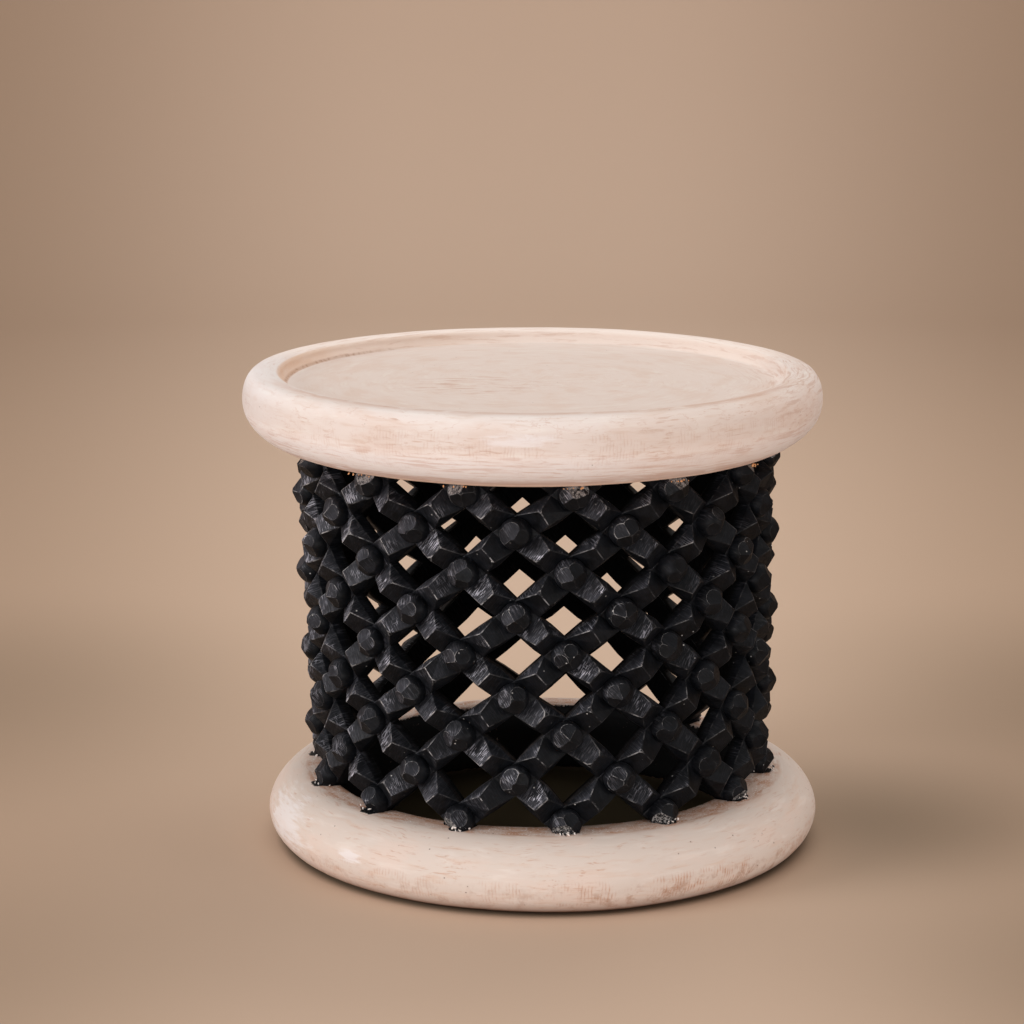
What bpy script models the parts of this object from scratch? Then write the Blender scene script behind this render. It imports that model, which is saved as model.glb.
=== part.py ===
"""Bamileke stool: a round dished seat on an open lattice drum that stands on a ring.

The real stool is carved from one log. Here its carved members are separate solids: the
seat, the base ring, fourteen bars that rise to the right round the drum, and fourteen that
fall to the right behind them. Where two bars cross, they are halved over each other: the
rising bar keeps the outer half of the wall and carries a carved knob, and the falling bar
keeps the inner half. Between crossings each bar stands out as a block with a hipped top.

Lengths are in metres and +Z is up. The stool stands on z = 0, and the photographed front
faces -Y.
"""

import math
from collections import namedtuple

import bmesh
import bpy
from mathutils import Vector

# Seat
STOOL_HEIGHT = 0.416
SEAT_RADIUS = 0.250
SEAT_CROWN_HEIGHT = 0.024  # from the widest line up to the crest of the rim
SEAT_CROWN_WIDTH = 0.014  # from the widest line in to the crest of the rim
SEAT_UNDERCUT_HEIGHT = 0.0415  # from the widest line down to the flat underside
SEAT_UNDERCUT_WIDTH = 0.058  # from the widest line in to the flat underside
RIM_CREST_WIDTH = 0.014
TRAY_DEPTH = 0.012
TRAY_WALL_RUN = 0.004  # how far the tray's wall leans out over its height
TRAY_LIP_ROUND = 0.006

# Base ring
BASE_OVERHANG = 0.0373  # how far the base stands out past the ridges of the blocks
BASE_HEIGHT = 0.0618
BASE_WIDEST_HEIGHT = 0.027
BASE_SHOULDER_WIDTH = 0.0366  # from the widest line in to the flat top
BASE_FOOT_WIDTH = 0.0232  # from the widest line in to the flat foot
BASE_HOLE_CHAMFER = 0.0025

# Lattice drum
SEAT_OVERHANG = 0.045  # how far the seat stands out past the ridges of the blocks
LATTICE_WALL = 0.023  # from the ridges in to the smooth inside of the drum
VALLEY_DEPTH = 0.0115  # from the ridges in to the low ground around each knob
BAR_WIDTH = 0.023
RIDGE_LENGTH = 0.0145
TOP_ROW_DROP = 0.006  # from the underside of the seat down to the top row of crossings
BOTTOM_ROW_RISE = 0.010  # from the top of the base up to the bottom row of crossings
BAR_SEAM = 0.0003  # clearance between bars, and between bars and what they meet

# Knobs
KNOB_DIAMETER = 0.026
KNOB_HEIGHT = 0.017  # from the low ground out to the nose
KNOB_BELLY_HEIGHT = 0.0065  # from the low ground out to the widest part
KNOB_NOSE_WIDTH = 0.009

# The carver's eye set the members a little off each other, sideways
SEAT_SHIFT = -0.001
DRUM_SHIFT = 0.0045
BASE_SHIFT = 0.0085

# Counts, turns and shares
BARS_EACH_WAY = 14
CROSSING_ROWS = 9
FIRST_KNOB_TURN = math.radians(7.2)
TURNING_STEPS = 48
CROWN_STEPS = 4
UNDERCUT_STEPS = 5
LIP_STEPS = 2
SWELL_POWER = 2.1  # 2 is an ellipse, and more is squarer
BASE_SWELL_POWER = 1.85
NECK_SHARE = 0.6  # of the way from a knob's centre to the corners of its crossing
BELLY_SIDES = 8
RISING_RIDGE_TURN_SHARE = 0.1  # 0 is square across the bar, 1 is along the other bars
FALLING_RIDGE_TURN_SHARE = 0.4

# Places that follow from the sizes above
LATTICE_RADIUS = SEAT_RADIUS - SEAT_OVERHANG
BASE_RADIUS = LATTICE_RADIUS + BASE_OVERHANG
CREST_RADIUS = SEAT_RADIUS - SEAT_CROWN_WIDTH
TRAY_LIP_RADIUS = CREST_RADIUS - RIM_CREST_WIDTH
TRAY_FLOOR_RADIUS = TRAY_LIP_RADIUS - TRAY_LIP_ROUND - TRAY_WALL_RUN
SEAT_WIDEST_Z = STOOL_HEIGHT - SEAT_CROWN_HEIGHT
SEAT_UNDERSIDE_Z = SEAT_WIDEST_Z - SEAT_UNDERCUT_HEIGHT
HOLLOW_RADIUS = LATTICE_RADIUS - LATTICE_WALL
HOLLOW_SHIFT = DRUM_SHIFT - BASE_SHIFT  # from the base's middle to the hollow's
VALLEY_RADIUS = LATTICE_RADIUS - VALLEY_DEPTH
LAP_RADIUS = (HOLLOW_RADIUS + VALLEY_RADIUS) / 2
BOTTOM_ROW_Z = BASE_HEIGHT + BOTTOM_ROW_RISE
TOP_ROW_Z = SEAT_UNDERSIDE_Z - TOP_ROW_DROP
ROW_RISE = (TOP_ROW_Z - BOTTOM_ROW_Z) / (CROSSING_ROWS - 1)
COLUMN_TURN = math.tau / BARS_EACH_WAY
BAR_SLOPE = math.atan2(ROW_RISE, LATTICE_RADIUS * COLUMN_TURN / 2)

# Materials
BLEACHED_WOOD = ("bleached_wood", (0.63, 0.53, 0.46), 0.55)
CHARCOAL_PAINT = ("charcoal_paint", (0.012, 0.012, 0.013), 0.5)

# Three vertices on one line through the drum's wall
Post = namedtuple("Post", "inside lap valley")


def new_material(name, colour, roughness):
    """A Principled material of one colour."""
    material = bpy.data.materials.new(name)
    material.use_nodes = True
    shader = material.node_tree.nodes["Principled BSDF"]
    shader.inputs["Base Color"].default_value = (*colour, 1.0)
    shader.inputs["Roughness"].default_value = roughness
    shader.inputs["Metallic"].default_value = 0.0
    return material


def add_solid(name, bm, look, shift):
    """Turn a bmesh into a named object that stands to one side by its shift."""
    bmesh.ops.recalc_face_normals(bm, faces=bm.faces)
    mesh = bpy.data.meshes.new(name)
    bm.to_mesh(mesh)
    bm.free()
    solid = bpy.data.objects.new(name, mesh)
    bpy.context.collection.objects.link(solid)
    solid.location.x = shift
    solid.data.materials.append(new_material(f"{name}_{look[0]}", look[1], look[2]))
    return solid


def smooth_round(solid):
    """Shade a turned piece smooth, but keep its true corners."""
    solid.data.shade_smooth()
    solid.data.set_sharp_from_angle(angle=math.radians(40))


def swell(width, height, power, steps):
    """Points of a quarter of a superellipse, from straight above its centre round to its side."""
    points = []
    for step in range(steps + 1):
        angle = math.pi / 2 * step / steps
        run = width * math.sin(angle) ** (2 / power)
        rise = height * max(math.cos(angle), 0.0) ** (2 / power)
        points.append((run, rise))
    return points


def ring_of_vertices(bm, radius, z, shift=0.0):
    """One turned ring of vertices, which may stand to one side."""
    turns = [math.tau * step / TURNING_STEPS for step in range(TURNING_STEPS)]
    return [bm.verts.new((radius * math.cos(t) + shift, radius * math.sin(t), z)) for t in turns]


def skin_between(bm, ring_a, ring_b):
    """A band of faces between two rings."""
    for step in range(TURNING_STEPS):
        after = (step + 1) % TURNING_STEPS
        bm.faces.new((ring_a[step], ring_a[after], ring_b[after], ring_b[step]))


def seat():
    """The seat: a thick disc with a swelling edge, undercut below, dished to a flat tray."""
    tray_z = STOOL_HEIGHT - TRAY_DEPTH
    outline = [(TRAY_FLOOR_RADIUS, tray_z)]
    for run, rise in reversed(swell(TRAY_LIP_ROUND, TRAY_LIP_ROUND, SWELL_POWER, LIP_STEPS)):
        outline.append((TRAY_LIP_RADIUS - run, STOOL_HEIGHT - TRAY_LIP_ROUND + rise))
    for run, rise in swell(SEAT_CROWN_WIDTH, SEAT_CROWN_HEIGHT, SWELL_POWER, CROWN_STEPS):
        outline.append((CREST_RADIUS + run, SEAT_WIDEST_Z + rise))
    undercut = swell(SEAT_UNDERCUT_WIDTH, SEAT_UNDERCUT_HEIGHT, SWELL_POWER, UNDERCUT_STEPS)
    for run, rise in reversed(undercut[:-1]):
        outline.append((SEAT_RADIUS - SEAT_UNDERCUT_WIDTH + run, SEAT_WIDEST_Z - rise))

    bm = bmesh.new()
    rings = [ring_of_vertices(bm, radius, z) for radius, z in outline]
    for upper, lower in zip(rings, rings[1:]):
        skin_between(bm, upper, lower)
    bm.faces.new(rings[0])
    bm.faces.new(rings[-1])
    smooth_round(add_solid("seat", bm, BLEACHED_WOOD, SEAT_SHIFT))


def base_ring():
    """The base: a swelling ring. The drum's hollow runs down through it to the floor."""
    outline = []
    shoulder = swell(BASE_SHOULDER_WIDTH, BASE_HEIGHT - BASE_WIDEST_HEIGHT, BASE_SWELL_POWER, CROWN_STEPS)
    for run, rise in shoulder:
        outline.append((BASE_RADIUS - BASE_SHOULDER_WIDTH + run, BASE_WIDEST_HEIGHT + rise))
    foot = swell(BASE_FOOT_WIDTH, BASE_WIDEST_HEIGHT, BASE_SWELL_POWER, CROWN_STEPS)
    for run, rise in reversed(foot[:-1]):
        outline.append((BASE_RADIUS - BASE_FOOT_WIDTH + run, BASE_WIDEST_HEIGHT - rise))
    bore = [
        (HOLLOW_RADIUS + BASE_HOLE_CHAMFER, 0.0),
        (HOLLOW_RADIUS, BASE_HOLE_CHAMFER),
        (HOLLOW_RADIUS, BASE_HEIGHT - BASE_HOLE_CHAMFER),
        (HOLLOW_RADIUS + BASE_HOLE_CHAMFER, BASE_HEIGHT),
    ]

    bm = bmesh.new()
    rings = [ring_of_vertices(bm, radius, z) for radius, z in outline]
    rings += [ring_of_vertices(bm, radius, z, HOLLOW_SHIFT) for radius, z in bore]
    for upper, lower in zip(rings, rings[1:] + rings[:1]):
        skin_between(bm, upper, lower)
    smooth_round(add_solid("base_ring", bm, BLEACHED_WOOD, BASE_SHIFT))


def wrapped(bm, flat, radius):
    """A vertex at a place (x, z) on the unrolled drum, x being measured at the ridges."""
    turn = flat.x / LATTICE_RADIUS
    return bm.verts.new((radius * math.sin(turn), -radius * math.cos(turn), flat.y))


def post(bm, flat, lap_radius):
    """A line of vertices through the wall: inside, at the lap and in the valley."""
    return Post(*(wrapped(bm, flat, radius) for radius in (HOLLOW_RADIUS, lap_radius, VALLEY_RADIUS)))


def wall_between(bm, one, other):
    """A wall between two posts' (inner, outer) vertices.

    It is split from its low inner corner to its high outer corner. The walls that face each
    other across a seam are all split the same way, so they twist alike and keep their
    clearance.
    """
    low, high = sorted((one, other), key=lambda pair: pair[0].co.z)
    bm.faces.new((low[0], high[0], high[1]))
    bm.faces.new((low[0], high[1], low[1]))


def upright_split(bm, corners):
    """A four-sided face on the drum, folded along its more upright diagonal."""
    a, b, c, d = corners
    if (a.co - c.co).xy.length > (b.co - d.co).xy.length:
        a, b, c, d = b, c, d, a
    bm.faces.new((a, b, c))
    bm.faces.new((a, c, d))


def skin_four_to_eight(bm, four, eight, offset):
    """Twelve facets between a square ring and an eight-sided one."""
    for corner in range(len(four)):
        middle = 2 * corner + offset
        before = eight[(middle - 1) % BELLY_SIDES]
        facing = eight[middle % BELLY_SIDES]
        after = eight[(middle + 1) % BELLY_SIDES]
        bm.faces.new((four[corner], before, facing))
        bm.faces.new((four[corner], facing, after))
        bm.faces.new((four[corner], after, four[(corner + 1) % len(four)]))


def knob(bm, centre, valley_corners, corner_places):
    """A hewn knob: it swells out over its square neck and is cut back to a small flat nose."""
    neck = [wrapped(bm, centre.lerp(place, NECK_SHARE), VALLEY_RADIUS) for place in corner_places]
    for corner in range(len(neck)):
        after = (corner + 1) % len(neck)
        bm.faces.new((valley_corners[corner], valley_corners[after], neck[after], neck[corner]))

    def facet_place(turn, reach):
        return centre + reach * Vector((math.cos(turn), math.sin(turn)))

    side_turn = math.tau / BELLY_SIDES
    belly_radius = VALLEY_RADIUS + KNOB_BELLY_HEIGHT
    belly = [
        wrapped(bm, facet_place(math.pi + side * side_turn, KNOB_DIAMETER / 2), belly_radius)
        for side in range(BELLY_SIDES)
    ]
    nose_reach = KNOB_NOSE_WIDTH / math.sqrt(2)
    nose = [
        wrapped(bm, facet_place(math.pi + side * side_turn, nose_reach), VALLEY_RADIUS + KNOB_HEIGHT)
        for side in range(1, BELLY_SIDES, 2)
    ]
    skin_four_to_eight(bm, neck, belly, 0)
    skin_four_to_eight(bm, nose, belly, 1)
    bm.faces.new(nose)


def block(bm, start, end, start_places, end_places, lean):
    """One stretch of bar between two crossings: plain sides and inside, and a hipped top.

    A low ridge stands across the middle of the stretch. Two wide faces fall from it to the
    crossings and two narrow ones to the sides.
    """
    left_middle, right_middle = (near.lerp(far, 0.5) for near, far in zip(start_places, end_places))
    middle = left_middle.lerp(right_middle, 0.5)
    along = (end_places[0] - start_places[0]).normalized()
    square_across = Vector((along.y, -along.x))
    beside = (right_middle - left_middle).normalized()
    turn_share = RISING_RIDGE_TURN_SHARE if lean > 0 else FALLING_RIDGE_TURN_SHARE
    ridge_way = square_across.lerp(beside, turn_share).normalized()
    ridge = [wrapped(bm, middle + side * ridge_way * RIDGE_LENGTH / 2, LATTICE_RADIUS) for side in (-1, 1)]

    bm.faces.new((start[0].valley, start[1].valley, ridge[1], ridge[0]))
    bm.faces.new((ridge[0], ridge[1], end[1].valley, end[0].valley))
    for near, far, peak in zip(start, end, ridge):
        bm.faces.new((near.valley, peak, far.valley))
        bm.faces.new((near.inside, far.inside, far.lap, near.lap))
        bm.faces.new((near.lap, far.lap, far.valley, near.valley))
    bm.faces.new((start[0].inside, start[1].inside, end[1].inside, end[0].inside))


def crossing(bm, centre, before, after, places, lean):
    """The halved stretch where two bars cross."""
    rhombus = (before[0], before[1], after[1], after[0])
    upright_split(bm, [corner.lap for corner in rhombus])
    inner_halves = [(corner.inside, corner.lap) for corner in rhombus]
    outer_halves = [(corner.lap, corner.valley) for corner in rhombus]
    if lean > 0:
        kept, cut_away = outer_halves, inner_halves
        knob(bm, centre, [corner.valley for corner in rhombus], places)
    else:
        kept, cut_away = inner_halves, outer_halves
        upright_split(bm, [corner.inside for corner in rhombus])
    for near, far in ((0, 3), (1, 2)):
        wall_between(bm, kept[near], kept[far])
    for left, right in ((0, 1), (3, 2)):
        wall_between(bm, cut_away[left], cut_away[right])


def trim(bm, z, keep):
    """Cut the bar level at a height, keep the part above (1) or below (-1), and close it."""
    everything = [*bm.verts, *bm.edges, *bm.faces]
    bmesh.ops.bisect_plane(
        bm, geom=everything, dist=0.0, plane_co=(0.0, 0.0, z), plane_no=(0.0, 0.0, keep), clear_inner=True
    )
    bmesh.ops.holes_fill(bm, edges=[edge for edge in bm.edges if edge.is_boundary], sides=0)


def lattice_bar(name, number, lean):
    """One bar of the drum, from the base ring up to the seat.

    Its lean is 1 if it rises to the right and -1 if it falls to the right. It is laid out flat as a straight bar with one spare stretch at each end, wrapped on the
    drum, and trimmed level where it meets the ring and the seat.
    """
    along = Vector((lean * math.cos(BAR_SLOPE), math.sin(BAR_SLOPE)))
    beside = Vector((math.cos(BAR_SLOPE), -lean * math.sin(BAR_SLOPE)))
    half_edge = BAR_WIDTH / 2 / math.sin(2 * BAR_SLOPE)
    reach = (BAR_WIDTH / 2 + BAR_SEAM) / math.sin(2 * BAR_SLOPE)
    lap_radius = LAP_RADIUS + lean * BAR_SEAM / 2

    bm = bmesh.new()
    last_posts, last_places = None, None
    for row in range(-1, CROSSING_ROWS + 1):
        turn = FIRST_KNOB_TURN + COLUMN_TURN * (number + lean * row / 2)
        centre = Vector((LATTICE_RADIUS * turn, BOTTOM_ROW_Z + ROW_RISE * row))
        before_places = [centre - reach * along + side * half_edge * beside for side in (-1, 1)]
        after_places = [centre + reach * along + side * half_edge * beside for side in (-1, 1)]
        before = [post(bm, place, lap_radius) for place in before_places] if last_posts else None
        if last_posts:
            block(bm, last_posts, before, last_places, before_places, lean)
        if row == CROSSING_ROWS:
            break
        after = [post(bm, place, lap_radius) for place in after_places]
        if last_posts:
            places = (*before_places, after_places[1], after_places[0])
            crossing(bm, centre, before, after, places, lean)
        last_posts, last_places = after, after_places
    trim(bm, BASE_HEIGHT + BAR_SEAM, 1)
    trim(bm, SEAT_UNDERSIDE_Z - BAR_SEAM, -1)
    add_solid(name, bm, CHARCOAL_PAINT, DRUM_SHIFT)


for leftover in list(bpy.data.objects):
    bpy.data.objects.remove(leftover)

seat()
base_ring()
for bar in range(BARS_EACH_WAY):
    for way, lean in (("rising", 1), ("falling", -1)):
        lattice_bar(f"{way}_bar_{bar + 1:02d}", bar, lean)
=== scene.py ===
# %% [markdown]
# This lesson dresses a round Bamileke stool. The real one is carved from a single log: a
# dished seat, an open lattice drum with carved knobs, and a swelling base ring. The wood of
# the seat and the base is bleached and rubbed smooth, and the lattice is painted charcoal
# black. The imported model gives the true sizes. It is loaded first, and everything made
# here stands where it says.

# %% Load the frame
import math
import random

import bmesh
import bpy
from mathutils import Euler, Matrix, Vector, noise


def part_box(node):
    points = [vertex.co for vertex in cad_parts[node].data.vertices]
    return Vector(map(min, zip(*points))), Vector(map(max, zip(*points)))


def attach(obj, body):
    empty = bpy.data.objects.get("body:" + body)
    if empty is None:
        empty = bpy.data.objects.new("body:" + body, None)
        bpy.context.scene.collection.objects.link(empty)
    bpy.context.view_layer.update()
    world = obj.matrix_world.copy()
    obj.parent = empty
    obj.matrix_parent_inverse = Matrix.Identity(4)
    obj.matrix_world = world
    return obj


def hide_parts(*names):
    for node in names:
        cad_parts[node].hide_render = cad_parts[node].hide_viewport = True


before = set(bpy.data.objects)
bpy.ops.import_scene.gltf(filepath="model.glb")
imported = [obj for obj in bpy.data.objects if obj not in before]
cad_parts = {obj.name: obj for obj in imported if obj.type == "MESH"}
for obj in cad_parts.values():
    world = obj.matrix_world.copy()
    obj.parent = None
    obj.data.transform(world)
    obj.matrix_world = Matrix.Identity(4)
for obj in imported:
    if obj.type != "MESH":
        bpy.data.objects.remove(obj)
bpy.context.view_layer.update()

# %% [markdown]
# A new Blender file may hold a cube, a lamp and a camera. They would stand in the picture, so
# they go. Every size below is read from the boxes of the loaded solids where a box shows it:
# the seat's radius and height, the base's radius and height, and where the middle of each
# member stands. The carver set the members a little off each other, sideways.

# %% Read the sizes from the frame
for leftover in ("Cube", "Light", "Camera"):
    if leftover in bpy.data.objects:
        bpy.data.objects.remove(bpy.data.objects[leftover])

seat_low, seat_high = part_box("seat")
base_low, base_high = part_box("base_ring")
BARS_EACH_WAY = 14
bar_boxes = [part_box(f"rising_bar_{bar + 1:02d}") for bar in range(BARS_EACH_WAY)]

SEAT_RADIUS = (seat_high.x - seat_low.x) / 2
SEAT_X = (seat_high.x + seat_low.x) / 2
SEAT_UNDERSIDE_Z = seat_low.z
STOOL_HEIGHT = seat_high.z
BASE_RADIUS = (base_high.x - base_low.x) / 2
BASE_X = (base_high.x + base_low.x) / 2
BASE_HEIGHT = base_high.z
DRUM_X = (min(low.x for low, high in bar_boxes) + max(high.x for low, high in bar_boxes)) / 2
print(f"Seat {2 * SEAT_RADIUS:.3f} m across, base {2 * BASE_RADIUS:.3f} m, height {STOOL_HEIGHT:.3f} m")
print(f"Middles: seat {SEAT_X:.4f}, drum {DRUM_X:.4f}, base {BASE_X:.4f}")

# %% [markdown]
# The camera is a long lens at about the height of a standing person's hip, looking a little
# down. A long lens keeps the seat and the base nearly the same width, as in the photograph.
# Its place was found by matching the outlines of the seat and the base. It looks straight
# along +Y and only tips down, so it is set by one angle.

# %% Camera
CAMERA_SIDE = -0.0185
CAMERA_DISTANCE = 2.4752
CAMERA_HEIGHT = 0.8174
CAMERA_TIP = math.radians(12.083)
CAMERA_LENS_MM = 102.22

camera_data = bpy.data.cameras.new("camera")
camera_data.sensor_width = 36.0
camera_data.lens = CAMERA_LENS_MM
camera = bpy.data.objects.new("camera", camera_data)
camera.location = (CAMERA_SIDE, -CAMERA_DISTANCE, CAMERA_HEIGHT)
camera.rotation_euler = Euler((math.pi / 2 - CAMERA_TIP, 0.0, 0.0))
bpy.context.scene.collection.objects.link(camera)
bpy.context.scene.camera = camera
bpy.context.scene.view_settings.view_transform = "Standard"
print(f"Camera {CAMERA_DISTANCE:.2f} m in front, tipped {math.degrees(CAMERA_TIP):.1f} degrees down")

# %% [markdown]
# Materials are built from nodes in code. A node's output is wrapped in a small class here, so
# that sums on it can be written as they are spoken: `a + b`, `1 - a` and `a * b` each add a
# node. One helper adds any node, joins its inputs and hands back one of its outputs. Another
# does the sums that have no sign of their own.

# %% Nodes and sums
class Value:
    """The output of a node: a number, a place or a colour."""

    def __init__(self, socket):
        self.socket = socket
        self.tree = socket.id_data

    def __add__(self, other):
        return maths("ADD", self, other)

    def __sub__(self, other):
        return maths("SUBTRACT", self, other)

    def __rsub__(self, other):
        return maths("SUBTRACT", other, self)

    def __mul__(self, other):
        return maths("MULTIPLY", self, other)

    __radd__ = __add__
    __rmul__ = __mul__


def add_node(tree, kind, inputs=None, output=0, **settings):
    """Add a shader node, change its settings, join or set its inputs, and give one output."""
    made = tree.nodes.new(kind)
    for name, value in settings.items():
        setattr(made, name, value)
    for name, value in (inputs or {}).items():
        if isinstance(value, Value):
            tree.links.new(value.socket, made.inputs[name])
        else:
            made.inputs[name].default_value = value
    return Value(made.outputs[output])


def maths(operation, first, second=0.0):
    """One sum on one or two numbers. At least one of them is a Value."""
    tree = (first if isinstance(first, Value) else second).tree
    return add_node(tree, "ShaderNodeMath", {0: first, 1: second}, operation=operation)


# %% [markdown]
# Places and directions have sums of their own. Two small helpers take a place apart into X, Y
# and Z, or put one together. Most masks are made by a fade, which goes smoothly from 0 to 1
# between two limits. Colours are easier to choose as the screen shows them, so the last
# helper turns a screen colour into the linear one that the shader needs.

# %% Places, fades and colours
def vector(operation, place, other=None):
    """One sum on a place or direction. Lengths, distances and dot products are numbers."""
    inputs = {0: place}
    if other is not None:
        inputs["Scale" if operation == "SCALE" else 1] = other
    output = "Value" if operation in ("LENGTH", "DISTANCE", "DOT_PRODUCT") else 0
    return add_node(place.tree, "ShaderNodeVectorMath", inputs, output, operation=operation)


def parts(place):
    """The X, Y and Z of a place or direction."""
    x = add_node(place.tree, "ShaderNodeSeparateXYZ", {0: place})
    return [Value(socket) for socket in x.socket.node.outputs]


def place_of(tree, **sides):
    """A place made of some of X, Y and Z."""
    return add_node(tree, "ShaderNodeCombineXYZ", sides)


def fade(value, low, high):
    """0 below the low limit, 1 above the high one, and a smooth change between them."""
    limits = {"Value": value, "From Min": low, "From Max": high}
    return add_node(value.tree, "ShaderNodeMapRange", limits, interpolation_type="SMOOTHSTEP")


def linear(red, green, blue):
    """A screen colour of 0 to 255 as a linear one of 0 to 1."""
    channels = [value / 255 for value in (red, green, blue)]
    return [c / 12.92 if c <= 0.04045 else ((c + 0.055) / 1.055) ** 2.4 for c in channels]


# %% [markdown]
# A finish is built up in layers, as a painter would: a ground colour, then one colour after
# another laid over it, each through a mask. A mask is 1 where the colour covers fully and 0
# where it is left out. The last helper joins colour, roughness and relief to the shader.

# %% Layers of colour
def lay_over(under, *layers):
    """Lay colours over one another in turn. Each layer is a colour and its mask."""
    for colour, mask in layers:
        below = under if isinstance(under, Value) else (*under, 1.0)
        inputs = {0: mask, 6: below, 7: (*colour, 1.0)}
        under = add_node(mask.tree, "ShaderNodeMix", inputs, 2, data_type="RGBA")
    return under


def new_finish(name, roughness, specular, colour=None):
    """A material with a Principled shader, and the tree and shader to build on."""
    material = bpy.data.materials.new(name)
    material.use_nodes = True
    shader = material.node_tree.nodes["Principled BSDF"]
    shader.inputs["Roughness"].default_value = roughness
    shader.inputs["Specular IOR Level"].default_value = specular
    if colour:
        shader.inputs["Base Color"].default_value = (*colour, 1.0)
    return material, material.node_tree, shader


def join_shader(shader, colour, rough, relief, bump_strength, bump_depth):
    """Join colour, roughness and relief to the shader."""
    bump = {"Height": relief, "Strength": bump_strength, "Distance": bump_depth}
    normal = add_node(colour.tree, "ShaderNodeBump", bump)
    for name, value in (("Base Color", colour), ("Roughness", rough), ("Normal", normal)):
        colour.tree.links.new(value.socket, shader.inputs[name])


# %% [markdown]
# The stool stands in a plain studio. The floor runs up into the wall in one smooth sweep, so
# no line shows behind the stool. The sweep is turned round the stool, and looks alike from
# every side. The helper that turns it makes the seat and the base later on.

# %% Floor and sweep
FLOOR_RADIUS = 3.2
SWEEP_RADIUS = 1.6
SWEEP_STEPS = 12
WALL_TOP = 2.6
STUDIO_STEPS = 96


def studio_outline():
    """Points (radius, height) from the middle of the floor, round the sweep and up the wall."""
    points = [(0.0, 0.0), (FLOOR_RADIUS / 2, 0.0), (FLOOR_RADIUS, 0.0)]
    for step in range(1, SWEEP_STEPS + 1):
        angle = math.pi / 2 * step / SWEEP_STEPS
        run = SWEEP_RADIUS * math.sin(angle)
        rise = SWEEP_RADIUS * (1 - math.cos(angle))
        points.append((FLOOR_RADIUS + run, rise))
    points.append((FLOOR_RADIUS + SWEEP_RADIUS, WALL_TOP))
    return points


def turned_skin(bm, outline, steps, middle_x=0.0):
    """Turn an outline of (radius, height) about an upright axis. A radius of 0 makes a point."""
    rings = []
    for radius, z in outline:
        turns = [math.tau * step / steps for step in range(steps if radius > 0 else 1)]
        ring = [bm.verts.new((radius * math.sin(t) + middle_x, radius * math.cos(t), z)) for t in turns]
        rings.append(ring)
    for lower, upper in zip(rings, rings[1:]):
        for step in range(steps):
            after = (step + 1) % steps
            corners = [lower[step % len(lower)], lower[after % len(lower)]]
            corners += [upper[after % len(upper)], upper[step % len(upper)]]
            bm.faces.new(list(dict.fromkeys(corners)))
    return rings


def add_mesh(name, bm, *materials):
    """Turn a bmesh into an object with its materials."""
    mesh = bpy.data.meshes.new(name)
    bm.to_mesh(mesh)
    bm.free()
    made = bpy.data.objects.new(name, mesh)
    bpy.context.scene.collection.objects.link(made)
    for material in materials:
        mesh.materials.append(material)
    return made


# %% [markdown]
# The paper of the studio has light and shade painted into it: a painted glow behind the stool,
# painted dimming to the sides, and a few soft round painted shadows on the floor: under the
# drum, beside the stool, farther out on the floor, and in a narrow ring where the base meets
# the floor. All this is part of the stage and not of the object.

# %% Backdrop paper with painted light and shade
BACKDROP_COLOUR = linear(210, 184, 162)
# Painted light and shade on the paper: a glow behind the stool, dimming to the sides, and shadows on the
# floor.
BACKDROP_PAINTED_GLOW = linear(224, 199, 178)
BACKDROP_PAINTED_DIM = linear(170, 144, 122)
BACKDROP_PAINTED_SHADE = linear(84, 74, 54)
PAINTED_GLOW_PLACE = (0.0, 3.8, 0.2)
PAINTED_GLOW_REACH = 3.8
FAN_START = 2.6          # the view fans out from this far in front of the stool
FAN_SHARE = 0.16         # by this share of the way from there
FAN_LEAST = 0.4
PAINTED_DIM_FROM, PAINTED_DIM_TO = 0.2, 1.3    # how far out in the fan the paper begins to dim, and is dim
PAINTED_DIM_SHARE = 0.8
# Painted shadows on the floor: beside the stool, inside the drum, round the base, and farther out.
PAINTED_SHADOWS = (               # middle of a shade, radius at which it ends, at which it is full, how much
    ((0.30, 0.02, 0.0), 0.26, 0.0, 0.5), ((DRUM_X, 0.0, 0.0), 0.20, 0.17, 0.97),
    ((-0.60, 0.45, 0.0), 0.50, 0.0, 0.28), ((0.60, 0.45, 0.0), 0.50, 0.0, 0.28),
    ((0.46, -0.36, 0.0), 0.32, 0.0, 0.28), ((-0.46, -0.36, 0.0), 0.30, 0.0, 0.16),
    ((BASE_X, 0.0, 0.0), BASE_RADIUS - 0.004, BASE_RADIUS - 0.018, 0.75),
)


def backdrop_finish():
    """Matt paper with a painted glow, painted dim sides and soft painted shadows."""
    paper, tree, shader = new_finish("backdrop_paper", 0.9, 0.1)
    place = add_node(tree, "ShaderNodeTexCoord", output="Object")
    x, y, _ = parts(place)
    fan = maths("MAXIMUM", (y + FAN_START) * FAN_SHARE, FAN_LEAST)
    aside = maths("DIVIDE", maths("ABSOLUTE", x), fan)
    colour = lay_over(
        BACKDROP_COLOUR,
        (BACKDROP_PAINTED_GLOW, fade(vector("DISTANCE", place, PAINTED_GLOW_PLACE), PAINTED_GLOW_REACH, 0.0)),
        (BACKDROP_PAINTED_DIM, PAINTED_DIM_SHARE * fade(aside, PAINTED_DIM_FROM, PAINTED_DIM_TO)),
        *((BACKDROP_PAINTED_SHADE, share * fade(vector("DISTANCE", place, middle), end, full))
          for middle, end, full, share in PAINTED_SHADOWS),
    )
    tree.links.new(colour.socket, shader.inputs["Base Color"])
    return paper


studio_mesh = bmesh.new()
turned_skin(studio_mesh, studio_outline(), STUDIO_STEPS)
studio = add_mesh("studio_sweep", studio_mesh, backdrop_finish())
studio.data.shade_smooth()
print(f"Studio floor {2 * FLOOR_RADIUS:.1f} m across")

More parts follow.
